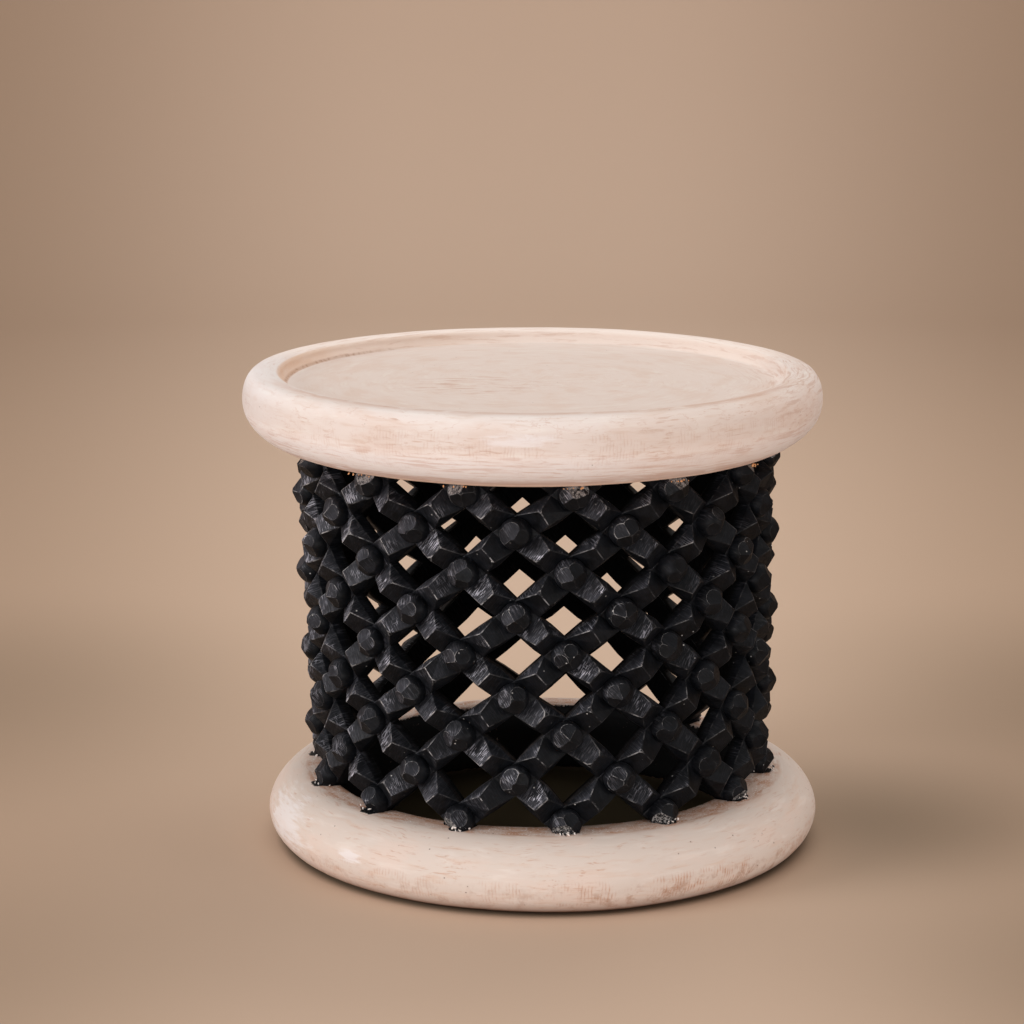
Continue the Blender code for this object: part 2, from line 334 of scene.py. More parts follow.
# %% [markdown]
# One large soft lamp, the key, stands to the left and in front, not very high. It lights the
# left of the rims and the left and upper facets of the lattice. A weaker one from the right,
# the fill, keeps the dark side readable. A low strip in front brightens the faces that look
# forward, a card above and behind draws the far rim, and the sky of the empty studio does
# the rest.

# %% Light
def soft_lamp(name, place, aim, width, height, watts, colour):
    """A large oval lamp at a place, turned to a point."""
    lamp_data = bpy.data.lights.new(name, "AREA")
    lamp_data.shape = "ELLIPSE"
    lamp_data.size = width
    lamp_data.size_y = height
    lamp_data.energy = watts
    lamp_data.color = colour
    lamp = bpy.data.objects.new(name, lamp_data)
    lamp.location = place
    lamp.rotation_euler = (Vector(aim) - Vector(place)).to_track_quat("-Z", "Y").to_euler()
    bpy.context.scene.collection.objects.link(lamp)


STOOL_MIDDLE = (0.0, 0.0, STOOL_HEIGHT / 2)
soft_lamp("key_lamp", (-3.1, -1.3, 1.2), STOOL_MIDDLE, 1.5, 1.4, 50.0, (0.985, 0.985, 1.0))
soft_lamp("fill_lamp", (2.6, -1.8, 0.5), STOOL_MIDDLE, 1.6, 0.9, 20.0, (0.99, 0.985, 1.0))
soft_lamp("low_card", (-0.4, -2.5, 0.13), (0.0, 0.0, 0.36), 2.6, 0.2, 22.0, (0.93, 0.965, 1.0))
soft_lamp("top_card", (0.5, 1.2, 2.3), (0.0, 0.0, STOOL_HEIGHT), 1.8, 1.4, 14.5, (1.0, 0.965, 0.93))

SKY_STRENGTH = 0.71
SKY_COLOUR = (1.0, 0.972, 0.945, 1.0)
sky = bpy.data.worlds.new("studio_sky")
sky.use_nodes = True
sky.node_tree.nodes["Background"].inputs["Color"].default_value = SKY_COLOUR
sky.node_tree.nodes["Background"].inputs["Strength"].default_value = SKY_STRENGTH
bpy.context.scene.world = sky
print("Lamps: key, fill, low card, top card and sky")

# %% [markdown]
# The seat and the base are turned forms with a hand's unevenness. They could be kept as the
# loaded solids, but those have 48 flat sides, which show on a pale rim. So each is turned
# again here from the same outline with many more steps, and then pushed in a little by
# noise, never out, so that it stays within the model's size. First come the curve that both
# swelling edges follow, and the push.

# %% Curves and unevenness
SWELL_POWER = 2.1        # 2 is an ellipse, and more is squarer
BASE_SWELL_POWER = 1.85
TURNED_STEPS = 288


def swell(width, height, power, steps):
    """Points of a quarter of a superellipse, from straight above its centre round to its side."""
    points = []
    for step in range(steps + 1):
        angle = math.pi / 2 * step / steps
        run = width * math.sin(angle) ** (2 / power)
        rise = height * max(math.cos(angle), 0.0) ** (2 / power)
        points.append((run, rise))
    return points


def wear_unevenly(bm, layers):
    """Push every vertex in along its normal by layers of noise (size of a lump, depth)."""
    bm.normal_update()
    moves = []
    for vertex in bm.verts:
        depth = 0.0
        for lump, most in layers:
            depth += most * (0.5 + 0.5 * noise.noise(vertex.co / lump))
        moves.append(vertex.normal * -depth)
    for vertex, move in zip(bm.verts, moves):
        vertex.co += move


# %% [markdown]
# The seat is a thick disc. From the middle outwards its outline runs along the flat tray,
# turns up a low wall with a small hollow at its foot, rolls over a rounded crest, swells out
# to the widest line and draws in again to the flat underside.

# %% Seat outline
SEAT_CROWN_HEIGHT = 0.024
SEAT_CROWN_WIDTH = 0.014
SEAT_UNDERCUT_WIDTH = 0.058
RIM_CREST_WIDTH = 0.014
CREST_SAG = 0.0007       # how much the crest falls to each side
TRAY_DEPTH = 0.012
TRAY_WALL_RUN = 0.004
TRAY_LIP_ROUND = 0.006
TRAY_FOOT_ROUND = 0.0015
TRAY_STEPS, CREST_STEPS, CROWN_STEPS, UNDERCUT_STEPS, UNDERSIDE_STEPS = 30, 6, 14, 20, 10

CREST_RADIUS = SEAT_RADIUS - SEAT_CROWN_WIDTH
TRAY_LIP_RADIUS = CREST_RADIUS - RIM_CREST_WIDTH
TRAY_FLOOR_RADIUS = TRAY_LIP_RADIUS - TRAY_LIP_ROUND - TRAY_WALL_RUN
TRAY_Z = STOOL_HEIGHT - TRAY_DEPTH
SEAT_WIDEST_Z = STOOL_HEIGHT - SEAT_CROWN_HEIGHT
SEAT_UNDERCUT_HEIGHT = SEAT_WIDEST_Z - SEAT_UNDERSIDE_Z


def evenly(start, end, steps):
    """Points from just past a start to an end, spaced evenly."""
    return [tuple(a + (b - a) * step / steps for a, b in zip(start, end)) for step in range(1, steps + 1)]


def seat_outline():
    """Points (radius, height) over the top of the seat, round its edge and back underneath."""
    foot = (TRAY_FLOOR_RADIUS - TRAY_FOOT_ROUND, TRAY_Z)
    wall_foot = (TRAY_FLOOR_RADIUS + TRAY_FOOT_ROUND / 3, TRAY_Z + TRAY_FOOT_ROUND)
    wall_top = (TRAY_LIP_RADIUS - TRAY_LIP_ROUND, STOOL_HEIGHT - TRAY_LIP_ROUND)
    points = [(0.0, TRAY_Z), *evenly((0.0, TRAY_Z), foot, TRAY_STEPS)]
    points += [*evenly(foot, wall_foot, 2), *evenly(wall_foot, wall_top, 3)]
    lip = swell(TRAY_LIP_ROUND, TRAY_LIP_ROUND - CREST_SAG, SWELL_POWER, CREST_STEPS)
    for run, rise in reversed(lip[:-1]):
        points.append((TRAY_LIP_RADIUS - run, STOOL_HEIGHT - TRAY_LIP_ROUND + rise))
    for step in range(1, CREST_STEPS):
        across = 2 * step / CREST_STEPS - 1
        crest_z = STOOL_HEIGHT - CREST_SAG * across**2
        points.append((TRAY_LIP_RADIUS + RIM_CREST_WIDTH * step / CREST_STEPS, crest_z))
    for run, rise in swell(SEAT_CROWN_WIDTH, SEAT_CROWN_HEIGHT - CREST_SAG, SWELL_POWER, CROWN_STEPS):
        points.append((CREST_RADIUS + run, SEAT_WIDEST_Z + rise))
    undercut = swell(SEAT_UNDERCUT_WIDTH, SEAT_UNDERCUT_HEIGHT, SWELL_POWER, UNDERCUT_STEPS)
    for run, rise in reversed(undercut[:-1]):
        points.append((SEAT_RADIUS - SEAT_UNDERCUT_WIDTH + run, SEAT_WIDEST_Z - rise))
    underside = (SEAT_RADIUS - SEAT_UNDERCUT_WIDTH, SEAT_UNDERSIDE_Z)
    points += evenly(underside, (0.0, SEAT_UNDERSIDE_Z), UNDERSIDE_STEPS)
    return points


print(f"Seat outline: {len(seat_outline())} points, tray {2 * TRAY_FLOOR_RADIUS:.3f} m across")

# %% [markdown]
# Patterns on turned wood follow the turning: streaks run round it, not straight across. So
# every point of a surface is described by its direction from the axis, its radius and its
# height. Noise is stretched round the axis, with no seam, if it is read at a place made of
# these. The number of turns says how short the streaks are, and the closeness how near one
# lies to the next.

# %% Streaks that run round
class Places:
    """Where each point of a surface lies about an upright axis."""

    def __init__(self, tree, middle_x):
        object_place = add_node(tree, "ShaderNodeTexCoord", output="Object")
        self.tree = tree
        self.place = vector("ADD", object_place, (-middle_x, 0.0, 0.0))
        self.x, self.y, self.height = parts(self.place)
        flat = place_of(tree, X=self.x, Y=self.y)
        self.radius = vector("LENGTH", flat)
        self.way = vector("NORMALIZE", flat)
        self.turn = maths("ARCTAN2", self.x, -1.0 * self.y)    # 0 in front, more to the right


def noise_at(place, scale, detail, roughness=0.5, fourth=None, output="Fac"):
    """Noise of 0 to 1 at a place, and at a fourth measure if there is one."""
    inputs = {"Vector": place, "Scale": scale, "Detail": detail, "Roughness": roughness}
    if fourth is not None:
        inputs["W"] = fourth
    dimensions = "3D" if fourth is None else "4D"
    return add_node(place.tree, "ShaderNodeTexNoise", inputs, output, noise_dimensions=dimensions)


def speckle(places, size, seed, detail=2.0, roughness=0.5):
    """Plain noise with lumps of a size."""
    return noise_at(vector("ADD", places.place, (seed, seed, seed)), 1 / size, detail, roughness)


def streaks(places, turns, closeness, seed, detail=3.0, wander=0.0):
    """Noise drawn out round the axis: more turns give shorter streaks, and wander bends them."""
    radius = places.radius
    if wander:
        radius = radius + wander * speckle(places, 0.035, seed, 1.0)
    lifted = place_of(places.tree, Z=radius * closeness + seed)
    where = vector("ADD", vector("SCALE", places.way, turns), lifted)
    return noise_at(where, 1.0, detail, 0.6, places.height * closeness)


# %% [markdown]
# Bleached wood is never one colour. Over a cream ground lie pinkish tan clouds, long faint
# streaks round the rim, thin brown lines, rows of short upright marks that a scraper left as
# it chattered, and dark pores. Each layer is one mask. The first ones are made here.

# %% Layers of bleached wood
CREAM = linear(236, 225, 219)
PINK_TAN = linear(226, 203, 190)
TAN = linear(214, 184, 163)
BROWN = linear(172, 130, 105)
PORE = linear(96, 62, 44)
FILLER_WHITE = linear(240, 237, 239)
PALE_CREAM = linear(243, 237, 231)
RED_BROWN = linear(196, 148, 122)
WALL_TAN = linear(222, 184, 154)
BASE_TONE = linear(218, 204, 194)
# painted shade at the foot of the base, where it meets the floor
FOOT_PAINTED_SHADE = linear(132, 94, 72)
DRUM_TAN = linear(190, 140, 110)
# painted shade on a band round the widest line of the seat
PAINTED_SHADE_TAN = linear(200, 180, 168)
LOW_EDGE_TAN = linear(250, 218, 196)
# painted light on the back of the seat's rim
PAINTED_BACK_LIGHT = linear(252, 238, 229)
WOOD_GLOSS = (0.62, 0.14)    # roughness and specular level


def clouds_and_streaks(places, calm_within, ground, paleness):
    """A ground with tan clouds, long streaks and thin brown lines, calmer within a radius."""
    strength = 0.35 + 0.65 * fade(places.radius, calm_within, calm_within + 0.01)
    clouds = fade(streaks(places, 4.0, 45.0, 3.0, 4.0), 0.45, 0.68)
    tan_streaks = fade(streaks(places, 6.0, 240.0, 1.0, 3.0, 0.012), 0.5, 0.72) * strength
    pale_streaks = fade(streaks(places, 5.0, 130.0, 7.0, 3.0, 0.012), 0.52, 0.72)
    gathered = fade(streaks(places, 7.0, 60.0, 9.0, 2.0), 0.42, 0.6) * strength
    lines = fade(streaks(places, 11.0, 620.0, 13.0, 3.0, 0.02), 0.55, 0.68) * gathered
    colour = lay_over(
        ground,
        (PINK_TAN, 0.5 * clouds),
        (TAN, 0.42 * tan_streaks),
        (PALE_CREAM, paleness * pale_streaks),
        (RED_BROWN, 0.55 * lines),
    )
    return colour, lines


# %% [markdown]
# The chatter marks are upright dashes about 3 mm apart that come and go in patches along the
# middle of the rim. A row of dashes is a wave round the axis: its number of waves is the way
# round divided by the gap. Two noises break it into patches and into shorter dashes.
#
# Thin veins wander along the rim as well. A vein lies where a slow noise passes its middle
# value, as the border between two kinds of wood does. Pores are dots round scattered points.

# %% Chatter marks, veins and pores
CHATTER_GAP = 0.0028
CHATTER_WANDER = 9.0     # how far the waves are pushed to and fro
CHATTER_FADE = 0.006     # over which height the dashes die out


def chatter(places, radius, low, high):
    """Rows of short upright dashes between two heights."""
    waves = places.turn * (radius * math.tau / CHATTER_GAP)
    comb = maths("SINE", waves + CHATTER_WANDER * speckle(places, 0.012, 21.0))
    patches = fade(streaks(places, 7.0, 60.0, 5.0, 2.0), 0.45, 0.56)
    broken = fade(speckle(places, 0.0065, 17.0), 0.35, 0.65)
    above = fade(places.height, low, low + CHATTER_FADE)
    below = fade(places.height, high, high - CHATTER_FADE)
    return (0.15 + 0.85 * fade(comb, 0.2, 1.0)) * patches * broken * above * below


def veins(places, seed):
    """Thin wandering lines that mostly run round the rim, broken here and there."""
    off_border = maths("ABSOLUTE", streaks(places, 9.0, 85.0, seed, 4.0) - 0.5)
    broken = fade(speckle(places, 0.012, seed + 5.0), 0.45, 0.6)
    return fade(off_border, 0.016, 0.003) * broken


def from_points(place, gap, feature="F1"):
    """How far a place lies from scattered points, or from the borders between them, in gaps."""
    inputs = {"Vector": place, "Scale": 1 / gap}
    return add_node(place.tree, "ShaderNodeTexVoronoi", inputs, "Distance", feature=feature)


def pores(places, gap, size, amount):
    """Small dots, kept where a slow noise allows them."""
    dots = fade(from_points(places.place, gap), size / gap, 0.3 * size / gap)
    return dots * fade(speckle(places, 0.03, 31.0, 3.0), 1.0 - amount, 1.04 - amount)


# %% [markdown]
# A white filler was rubbed into a few spots. It is smoother than the wood and has ragged
# ends. Each spot is a flattened ball round a point on the rim, drawn out sideways, whose edge
# is torn by noise.

# %% White filler
FILLER_TEAR = 2.4        # how much the noise adds to the distance from the middle of a spot
FILLER_EDGE = (2.15, 1.55)


def filler_spot(places, middle, half_sizes, seed):
    """A ragged spot round a point: 1 inside, 0 outside."""
    away = vector("SUBTRACT", places.place, middle)
    distance = vector("LENGTH", vector("MULTIPLY", away, [1 / size for size in half_sizes]))
    torn = FILLER_TEAR * streaks(places, 10.0, 260.0, seed, 4.0)
    return fade(distance + torn, *FILLER_EDGE)


def on_rim(turn_degrees, radius, height):
    """A point on a rim, measured from its own middle. A turn of 0 is the front, and + is right."""
    turn = math.radians(turn_degrees)
    return (radius * math.sin(turn), -radius * math.cos(turn), height)


# %% [markdown]
# Inside the drum and round the lowest knobs the wood is painted black like the lattice, with
# a brushed, ragged limit. On the base the limit reaches out round each knob. The helper that
# ends a wood finish lays this paint over the colour, sinks the lines and chatter marks a
# little, and makes the filler smoother than the wood.

# %% Paint on the wood
PAINT = linear(26, 26, 27)
PAINT_TEAR = 0.009       # how much the noise adds to the radius of the paint's limit
FIRST_FOOT_TURN = math.radians(6.3)      # where the first knob of the lowest row stands
KNOB_DRIFT = math.radians(-0.9)          # and half the drift of those at the back


def painted_inside(tree, limit, by_knobs=0.0):
    """1 within a radius of the drum's axis. It reaches out further by the lowest knobs."""
    places = Places(tree, DRUM_X)
    radius = places.radius + PAINT_TEAR * speckle(places, 0.005, 2.0, 5.0, 0.75)
    if by_knobs:
        drifted = KNOB_DRIFT * (1.0 - maths("COSINE", places.turn))
        near = maths("COSINE", (places.turn - FIRST_FOOT_TURN - drifted) * BARS_EACH_WAY)
        radius = radius - by_knobs * fade(near, 0.6, 0.95)
    return fade(radius, limit + PAINT_TEAR / 2, limit + PAINT_TEAR / 2 - 0.001)


def finish_wood(shader, places, colour, lines, marks, filler, painted):
    """Lay the paint over the colour, and join colour, relief and polish to the shader."""
    relief = -0.6 * lines + -0.8 * marks + 0.6 * speckle(places, 0.004, 11.0, 4.0)
    join_shader(shader, lay_over(colour, (PAINT, painted)), 0.6 - 0.1 * filler, relief, 0.35, 0.0006)


# %% [markdown]
# The tray has stains and painted shade of its own. Its wall is tan, and painted shade makes it
# darkest on its left, the side turned from the key lamp. Thin brown lines of painted shade run
# along the foot of the wall and along its edge in front, and a knot in the tray's floor shows
# as a cluster of brown streaks. The function gives these layers in a row, ready to be laid.

# %% Stains and painted shade of the tray
KNOT_MIDDLE = (-0.05, -0.02, TRAY_Z)
KNOT_SHARES = (12.0, 14.0, 60.0)         # 1 over the knot's half sizes
KNOT_GRAIN = (35.0, 160.0, 0.0)          # how close its streaks lie along X and Y


def tray_stains_and_painted_shade(places):
    """The layers of the tray: its tan wall, darker on the left by painted shade, painted shade lines along
    the wall's foot and edge, and the knot.
    """
    radius, x, y = places.radius, places.x, places.y
    wall = fade(radius, TRAY_LIP_RADIUS - 0.001, TRAY_LIP_RADIUS - 0.004)
    wall *= fade(radius, TRAY_FLOOR_RADIUS - 0.003, TRAY_FLOOR_RADIUS)
    # Painted shade: the wall is tanner on its left, the side turned from the key lamp.
    painted_shade_to_left = 0.12 + 0.3 * fade(x, 0.0, -0.1) + 0.5 * fade(x, -0.165, -0.21)
    blotches = 0.35 + 0.8 * streaks(places, 9.0, 200.0, 33.0)
    # Painted shade in the crease at the foot of the wall, on the left.
    off_foot = maths("ABSOLUTE", radius - TRAY_FLOOR_RADIUS)
    crumbs = 0.5 + 0.5 * fade(speckle(places, 0.005, 37.0, 3.0), 0.5, 0.64)
    foot = fade(off_foot, 0.002, 0.0004) * crumbs * fade(x, -0.09, -0.18) * fade(y, -0.10, 0.0)
    # Painted shade along the front edge of the tray.
    off_edge = maths("ABSOLUTE", radius - (TRAY_LIP_RADIUS + 0.006))
    edge = fade(off_edge, 0.009, 0.001) * fade(y, -0.05, -0.15)
    edge *= fade(streaks(places, 9.0, 100.0, 30.0, 2.0), 0.3, 0.5)
    away = vector("MULTIPLY", vector("SUBTRACT", places.place, KNOT_MIDDLE), KNOT_SHARES)
    grain = noise_at(vector("MULTIPLY", places.place, KNOT_GRAIN), 1.0, 4.0)
    knot = fade(vector("LENGTH", away), 1.0, 0.2) * fade(grain, 0.5, 0.68)
    return (
        (WALL_TAN, wall * painted_shade_to_left * blotches),
        (BROWN, 0.8 * foot),
        (RED_BROWN, 0.42 * edge),
        (RED_BROWN, 0.6 * knot),
    )


# %% [markdown]
# Now the layers are put together into a finish for the seat. Low on the edge and at the far
# left the wood is painted paler, which is painted light where the lamps leave it too dark, and
# low on the edge it has fine reddish streaks. A band round the widest line is painted darker,
# which is painted shade that tones down the key lamp there. The right of the rim is stained,
# and the back of the rim is painted palest of all, which is painted light. Each mask is made
# first, and then all are laid in turn.

# %% Finish of the seat
FRINGE_RADIUS = 0.199    # how far the paint reaches out under the seat
FRINGE_HEIGHTS = (0.356, 0.354)


def seat_finish():
    """Bleached wood for the seat."""
    material, tree, shader = new_finish("bleached_seat_wood", *WOOD_GLOSS)
    places = Places(tree, SEAT_X)
    radius, height, x, y = places.radius, places.height, places.x, places.y
    ground, lines = clouds_and_streaks(places, TRAY_FLOOR_RADIUS, CREAM, 0.6)
    marks = chatter(places, SEAT_RADIUS, SEAT_UNDERSIDE_Z + 0.016, SEAT_WIDEST_Z + 0.012)
    on_edge = fade(radius, TRAY_LIP_RADIUS, TRAY_LIP_RADIUS + 0.008)
    in_tray = fade(radius, TRAY_FLOOR_RADIUS, TRAY_FLOOR_RADIUS - 0.004)
    # Painted light: below the widest line and at the far left the wood is painted paler where the lamps
    # leave it too dark.
    below = fade(height, SEAT_WIDEST_Z - 0.004, SEAT_WIDEST_Z - 0.018)
    far_left_painted_light = fade(x, -0.19, -0.24)
    low_streaks = fade(streaks(places, 5.0, 420.0, 55.0, 4.0, 0.008), 0.5, 0.64)
    low_streaks *= fade(height, SEAT_WIDEST_Z, SEAT_WIDEST_Z - 0.012)
    on_right = fade(x, 0.02, 0.12) * fade(x, 0.25, 0.18) * on_edge
    far_right = fade(x, 0.16, 0.225) * fade(height, SEAT_WIDEST_Z - 0.002, SEAT_WIDEST_Z + 0.010)
    far_right *= fade(y, 0.14, 0.04)
    right_streaks = fade(streaks(places, 6.0, 330.0, 71.0, 4.0, 0.010), 0.48, 0.62)
    lowest = fade(height, SEAT_UNDERSIDE_Z + 0.010, SEAT_UNDERSIDE_Z + 0.004)
    off_widest = maths("ABSOLUTE", height - (SEAT_WIDEST_Z + 0.004))
    # Painted shade on a band round the widest line, toning down the key lamp there.
    painted_shade_band = fade(off_widest, 0.014, 0.004) * on_edge * fade(x, 0.24, 0.17)
    # Painted light: the back of the rim is painted paler.
    at_back = fade(y, 0.02, 0.12) * fade(radius, TRAY_FLOOR_RADIUS - 0.002, TRAY_FLOOR_RADIUS + 0.001)
    back_streaks = fade(streaks(places, 7.0, 300.0, 77.0, 4.0, 0.008), 0.5, 0.64)
    filler = filler_spot(places, on_rim(-2.5, 0.246, 0.397), (0.036, 0.03, 0.0075), 3.0)
    colour = lay_over(
        ground,
        (RED_BROWN, 0.3 * marks),
        (RED_BROWN, 0.24 * veins(places, 41.0) * on_edge),
        (TAN, 0.26 * in_tray),
        (FILLER_WHITE, 0.5 * maths("MAXIMUM", below, far_left_painted_light)),
        (RED_BROWN, 0.38 * low_streaks),
        (WALL_TAN, 0.16 * on_right),
        (DRUM_TAN, far_right * (0.05 + 0.38 * right_streaks)),
        (LOW_EDGE_TAN, 0.8 * lowest),
        (PAINTED_SHADE_TAN, 0.3 * painted_shade_band),
        (PORE, 0.6 * pores(places, 0.009, 0.0009, 0.42)),
        (PAINTED_BACK_LIGHT, 0.9 * at_back),
        (RED_BROWN, 0.3 * at_back * back_streaks),
        *tray_stains_and_painted_shade(places),
        (FILLER_WHITE, 0.5 * filler),
    )
    painted = painted_inside(tree, FRINGE_RADIUS) * fade(height, *FRINGE_HEIGHTS)
    finish_wood(shader, places, colour, lines, marks, filler, painted)
    return material


# %% [markdown]
# With the outline and the finish ready, the seat can be turned, made uneven, and given its
# place in the frame. It rides on the one body of the stool and stands for the loaded seat.

# %% Seat
SEAT_UNEVENNESS = ((0.11, 0.0009), (0.03, 0.0004), (0.009, 0.00012))

seat_mesh = bmesh.new()
turned_skin(seat_mesh, seat_outline(), TURNED_STEPS, SEAT_X)
bmesh.ops.recalc_face_normals(seat_mesh, faces=seat_mesh.faces)
wear_unevenly(seat_mesh, SEAT_UNEVENNESS)
carved_seat = add_mesh("carved_seat", seat_mesh, seat_finish())
carved_seat.data.shade_smooth()
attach(carved_seat, "root")
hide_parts("seat")
print(f"Seat: {len(carved_seat.data.polygons)} faces")

# %% [markdown]
# The base is a swelling ring, and the drum's hollow runs down through it to the floor. The
# hollow was bored with the drum, so its axis is the drum's and not the base's. The outline
# runs from the hollow's upper edge over the shoulder, round the widest line to the foot, and
# back to the hollow's lower edge.

# %% Base outline
BASE_WIDEST_HEIGHT = 0.027
BASE_SHOULDER_WIDTH = 0.0366
BASE_FOOT_WIDTH = 0.0232
BASE_HOLE_CHAMFER = 0.0025
HOLLOW_RADIUS = 0.182
SHOULDER_STEPS, FOOT_STEPS, HOLLOW_STEPS = 18, 14, 8


def base_outline():
    """Points (radius, height) of the outside of the base, from its flat top to its flat foot."""
    top_radius = BASE_RADIUS - BASE_SHOULDER_WIDTH
    foot_radius = BASE_RADIUS - BASE_FOOT_WIDTH
    points = []
    shoulder_height = BASE_HEIGHT - BASE_WIDEST_HEIGHT
    for run, rise in swell(BASE_SHOULDER_WIDTH, shoulder_height, BASE_SWELL_POWER, SHOULDER_STEPS):
        points.append((top_radius + run, BASE_WIDEST_HEIGHT + rise))
    foot = swell(BASE_FOOT_WIDTH, BASE_WIDEST_HEIGHT, BASE_SWELL_POWER, FOOT_STEPS)
    for run, rise in reversed(foot[:-1]):
        points.append((foot_radius + run, BASE_WIDEST_HEIGHT - rise))
    return points


def hollow_outline():
    """Points (radius, height) of the hollow through the base, from the floor up."""
    wide = HOLLOW_RADIUS + BASE_HOLE_CHAMFER
    low = (HOLLOW_RADIUS, BASE_HOLE_CHAMFER)
    high = (HOLLOW_RADIUS, BASE_HEIGHT - BASE_HOLE_CHAMFER)
    return [
        (wide + BASE_HOLE_CHAMFER, 0.0),
        (wide, 0.0),
        low,
        *evenly(low, high, HOLLOW_STEPS),
        (wide, BASE_HEIGHT),
        (wide + BASE_HOLE_CHAMFER, BASE_HEIGHT),
    ]


# %% [markdown]
# The base has the same wood with its own marks. Round the foot of the lattice the bleach was
# rubbed less, and a flaky brown band is left, with the black paint brushed over its inner
# edge. The lower part is soiled, most of all on the right, and the foot is darkened by painted
# shade where it meets the floor. There is more filler on the left.

# %% Finish of the base
BASE_PAINT_RADIUS = 0.185
BASE_PAINT_BY_KNOBS = 0.0215


def base_finish():
    """Bleached wood for the base."""
    material, tree, shader = new_finish("bleached_base_wood", *WOOD_GLOSS)
    places = Places(tree, BASE_X)
    radius, height = places.radius, places.height
    ground, lines = clouds_and_streaks(places, 0.0, BASE_TONE, 0.25)
    marks = chatter(places, BASE_RADIUS, 0.008, 0.034)
    rightness = 0.4 + 0.5 * fade(places.x, -0.05, 0.15)
    soiled = fade(speckle(places, 0.012, 61.0, 4.0, 0.7), 0.48, 0.7) * rightness
    soiled *= fade(height, 0.034, 0.018)
    # Painted shade: the foot darkens towards the floor, with a thin darker line at the very bottom.
    foot = 0.62 * fade(height, 0.018, 0.0) + 0.5 * fade(height, 0.007, 0.001)
    flaky = 0.03 * streaks(places, 14.0, 200.0, 40.0, 4.0)
    by_drum = fade(radius, 0.212, 0.205) * fade(streaks(places, 12.0, 160.0, 44.0, 3.0), 0.42, 0.62)
    large_spot = filler_spot(places, on_rim(-68, 0.238, 0.036), (0.03, 0.07, 0.028), 8.0)
    small_spot = filler_spot(places, on_rim(-42, 0.241, 0.034), (0.014, 0.014, 0.006), 12.0)
    filler = maths("MAXIMUM", large_spot, small_spot)
    flakes = fade(speckle(places, 0.0016, 51.0), 0.6, 0.66) * fade(radius, 0.209, 0.204)
    colour = lay_over(
        ground,
        (RED_BROWN, marks * rightness),
        (BROWN, 0.75 * soiled),
        (FOOT_PAINTED_SHADE, foot),
        (RED_BROWN, 0.3 * fade(radius + flaky, 0.224, 0.217)),
        (DRUM_TAN, 0.8 * by_drum),
        (PORE, 0.7 * pores(places, 0.008, 0.001, 0.45)),
        (FILLER_WHITE, 0.55 * filler),
        (FILLER_WHITE, 0.8 * flakes),
    )
    painted = painted_inside(tree, BASE_PAINT_RADIUS, BASE_PAINT_BY_KNOBS)
    finish_wood(shader, places, colour, lines, marks, filler, painted)
    return material


# %% [markdown]
# The outside and the hollow are turned about their own axes, and the gap between them is
# bridged at the top and at the foot by a flat ring.

# %% Base
BASE_UNEVENNESS = ((0.1, 0.0008), (0.03, 0.0004), (0.009, 0.00015))

base_mesh = bmesh.new()
outside = turned_skin(base_mesh, base_outline(), TURNED_STEPS, BASE_X)
hollow = turned_skin(base_mesh, hollow_outline(), TURNED_STEPS, DRUM_X)
for outer_ring, inner_ring in ((outside[0], hollow[-1]), (outside[-1], hollow[0])):
    for step in range(TURNED_STEPS):
        after = (step + 1) % TURNED_STEPS
        base_mesh.faces.new((outer_ring[step], outer_ring[after], inner_ring[after], inner_ring[step]))
bmesh.ops.recalc_face_normals(base_mesh, faces=base_mesh.faces)
wear_unevenly(base_mesh, BASE_UNEVENNESS)
for vertex in base_mesh.verts:
    vertex.co.z = max(vertex.co.z, 0.0)
carved_base = add_mesh("carved_base", base_mesh, base_finish())
carved_base.data.shade_smooth()
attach(carved_base, "root")
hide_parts("base_ring")
print(f"Base: {len(carved_base.data.polygons)} faces")

# %% [markdown]
# The lattice is the carver's showpiece. Fourteen bars rise to the right round the drum and
# fourteen fall to the right, and each bar crosses nine of the others. On the real stool all
# of it was cut by eye with an adze, so no two crossings are alike. Here the crossings are
# laid out on the unrolled drum as a regular net. These are its sizes, how far each row drifts
# in front, and how far the sides of a bar lie from the middle of a crossing.

# %% Sizes of the lattice
LATTICE_RADIUS = 0.205   # out to the ridges of the blocks
VALLEY_DEPTH = 0.0115
BAR_WIDTH = 0.023
TOP_ROW_DROP = 0.006
BOTTOM_ROW_RISE = 0.010
CROSSING_ROWS = 9
FIRST_KNOB_TURN = math.radians(7.2)
BACK_TURN = math.radians(-2.7)    # how far the carver's spacing has drifted at the back
ROW_DRIFTS = (           # of each row in front, from the base up: rise, turn in degrees, rise to the right
    (-0.0035, -0.90, 0.000), (-0.0012, -0.50, 0.000), (0.0014, -0.85, 0.003), (0.0014, -1.00, 0.006),
    (0.0014, -0.80, 0.004), (0.0006, -0.20, 0.001), (0.0004, 0.15, 0.000), (0.0003, 0.10, 0.000),
    (-0.0008, 0.40, 0.000), (0.0, 0.0, 0.0),
)
LEFT_LEAN = 0.0055       # how far the drum's left side leans out at the seat and in at the base
WANDER = 0.0013          # how far a crossing strays from its true place
CORNER_WANDER = 0.0008   # how far each of its corners strays besides

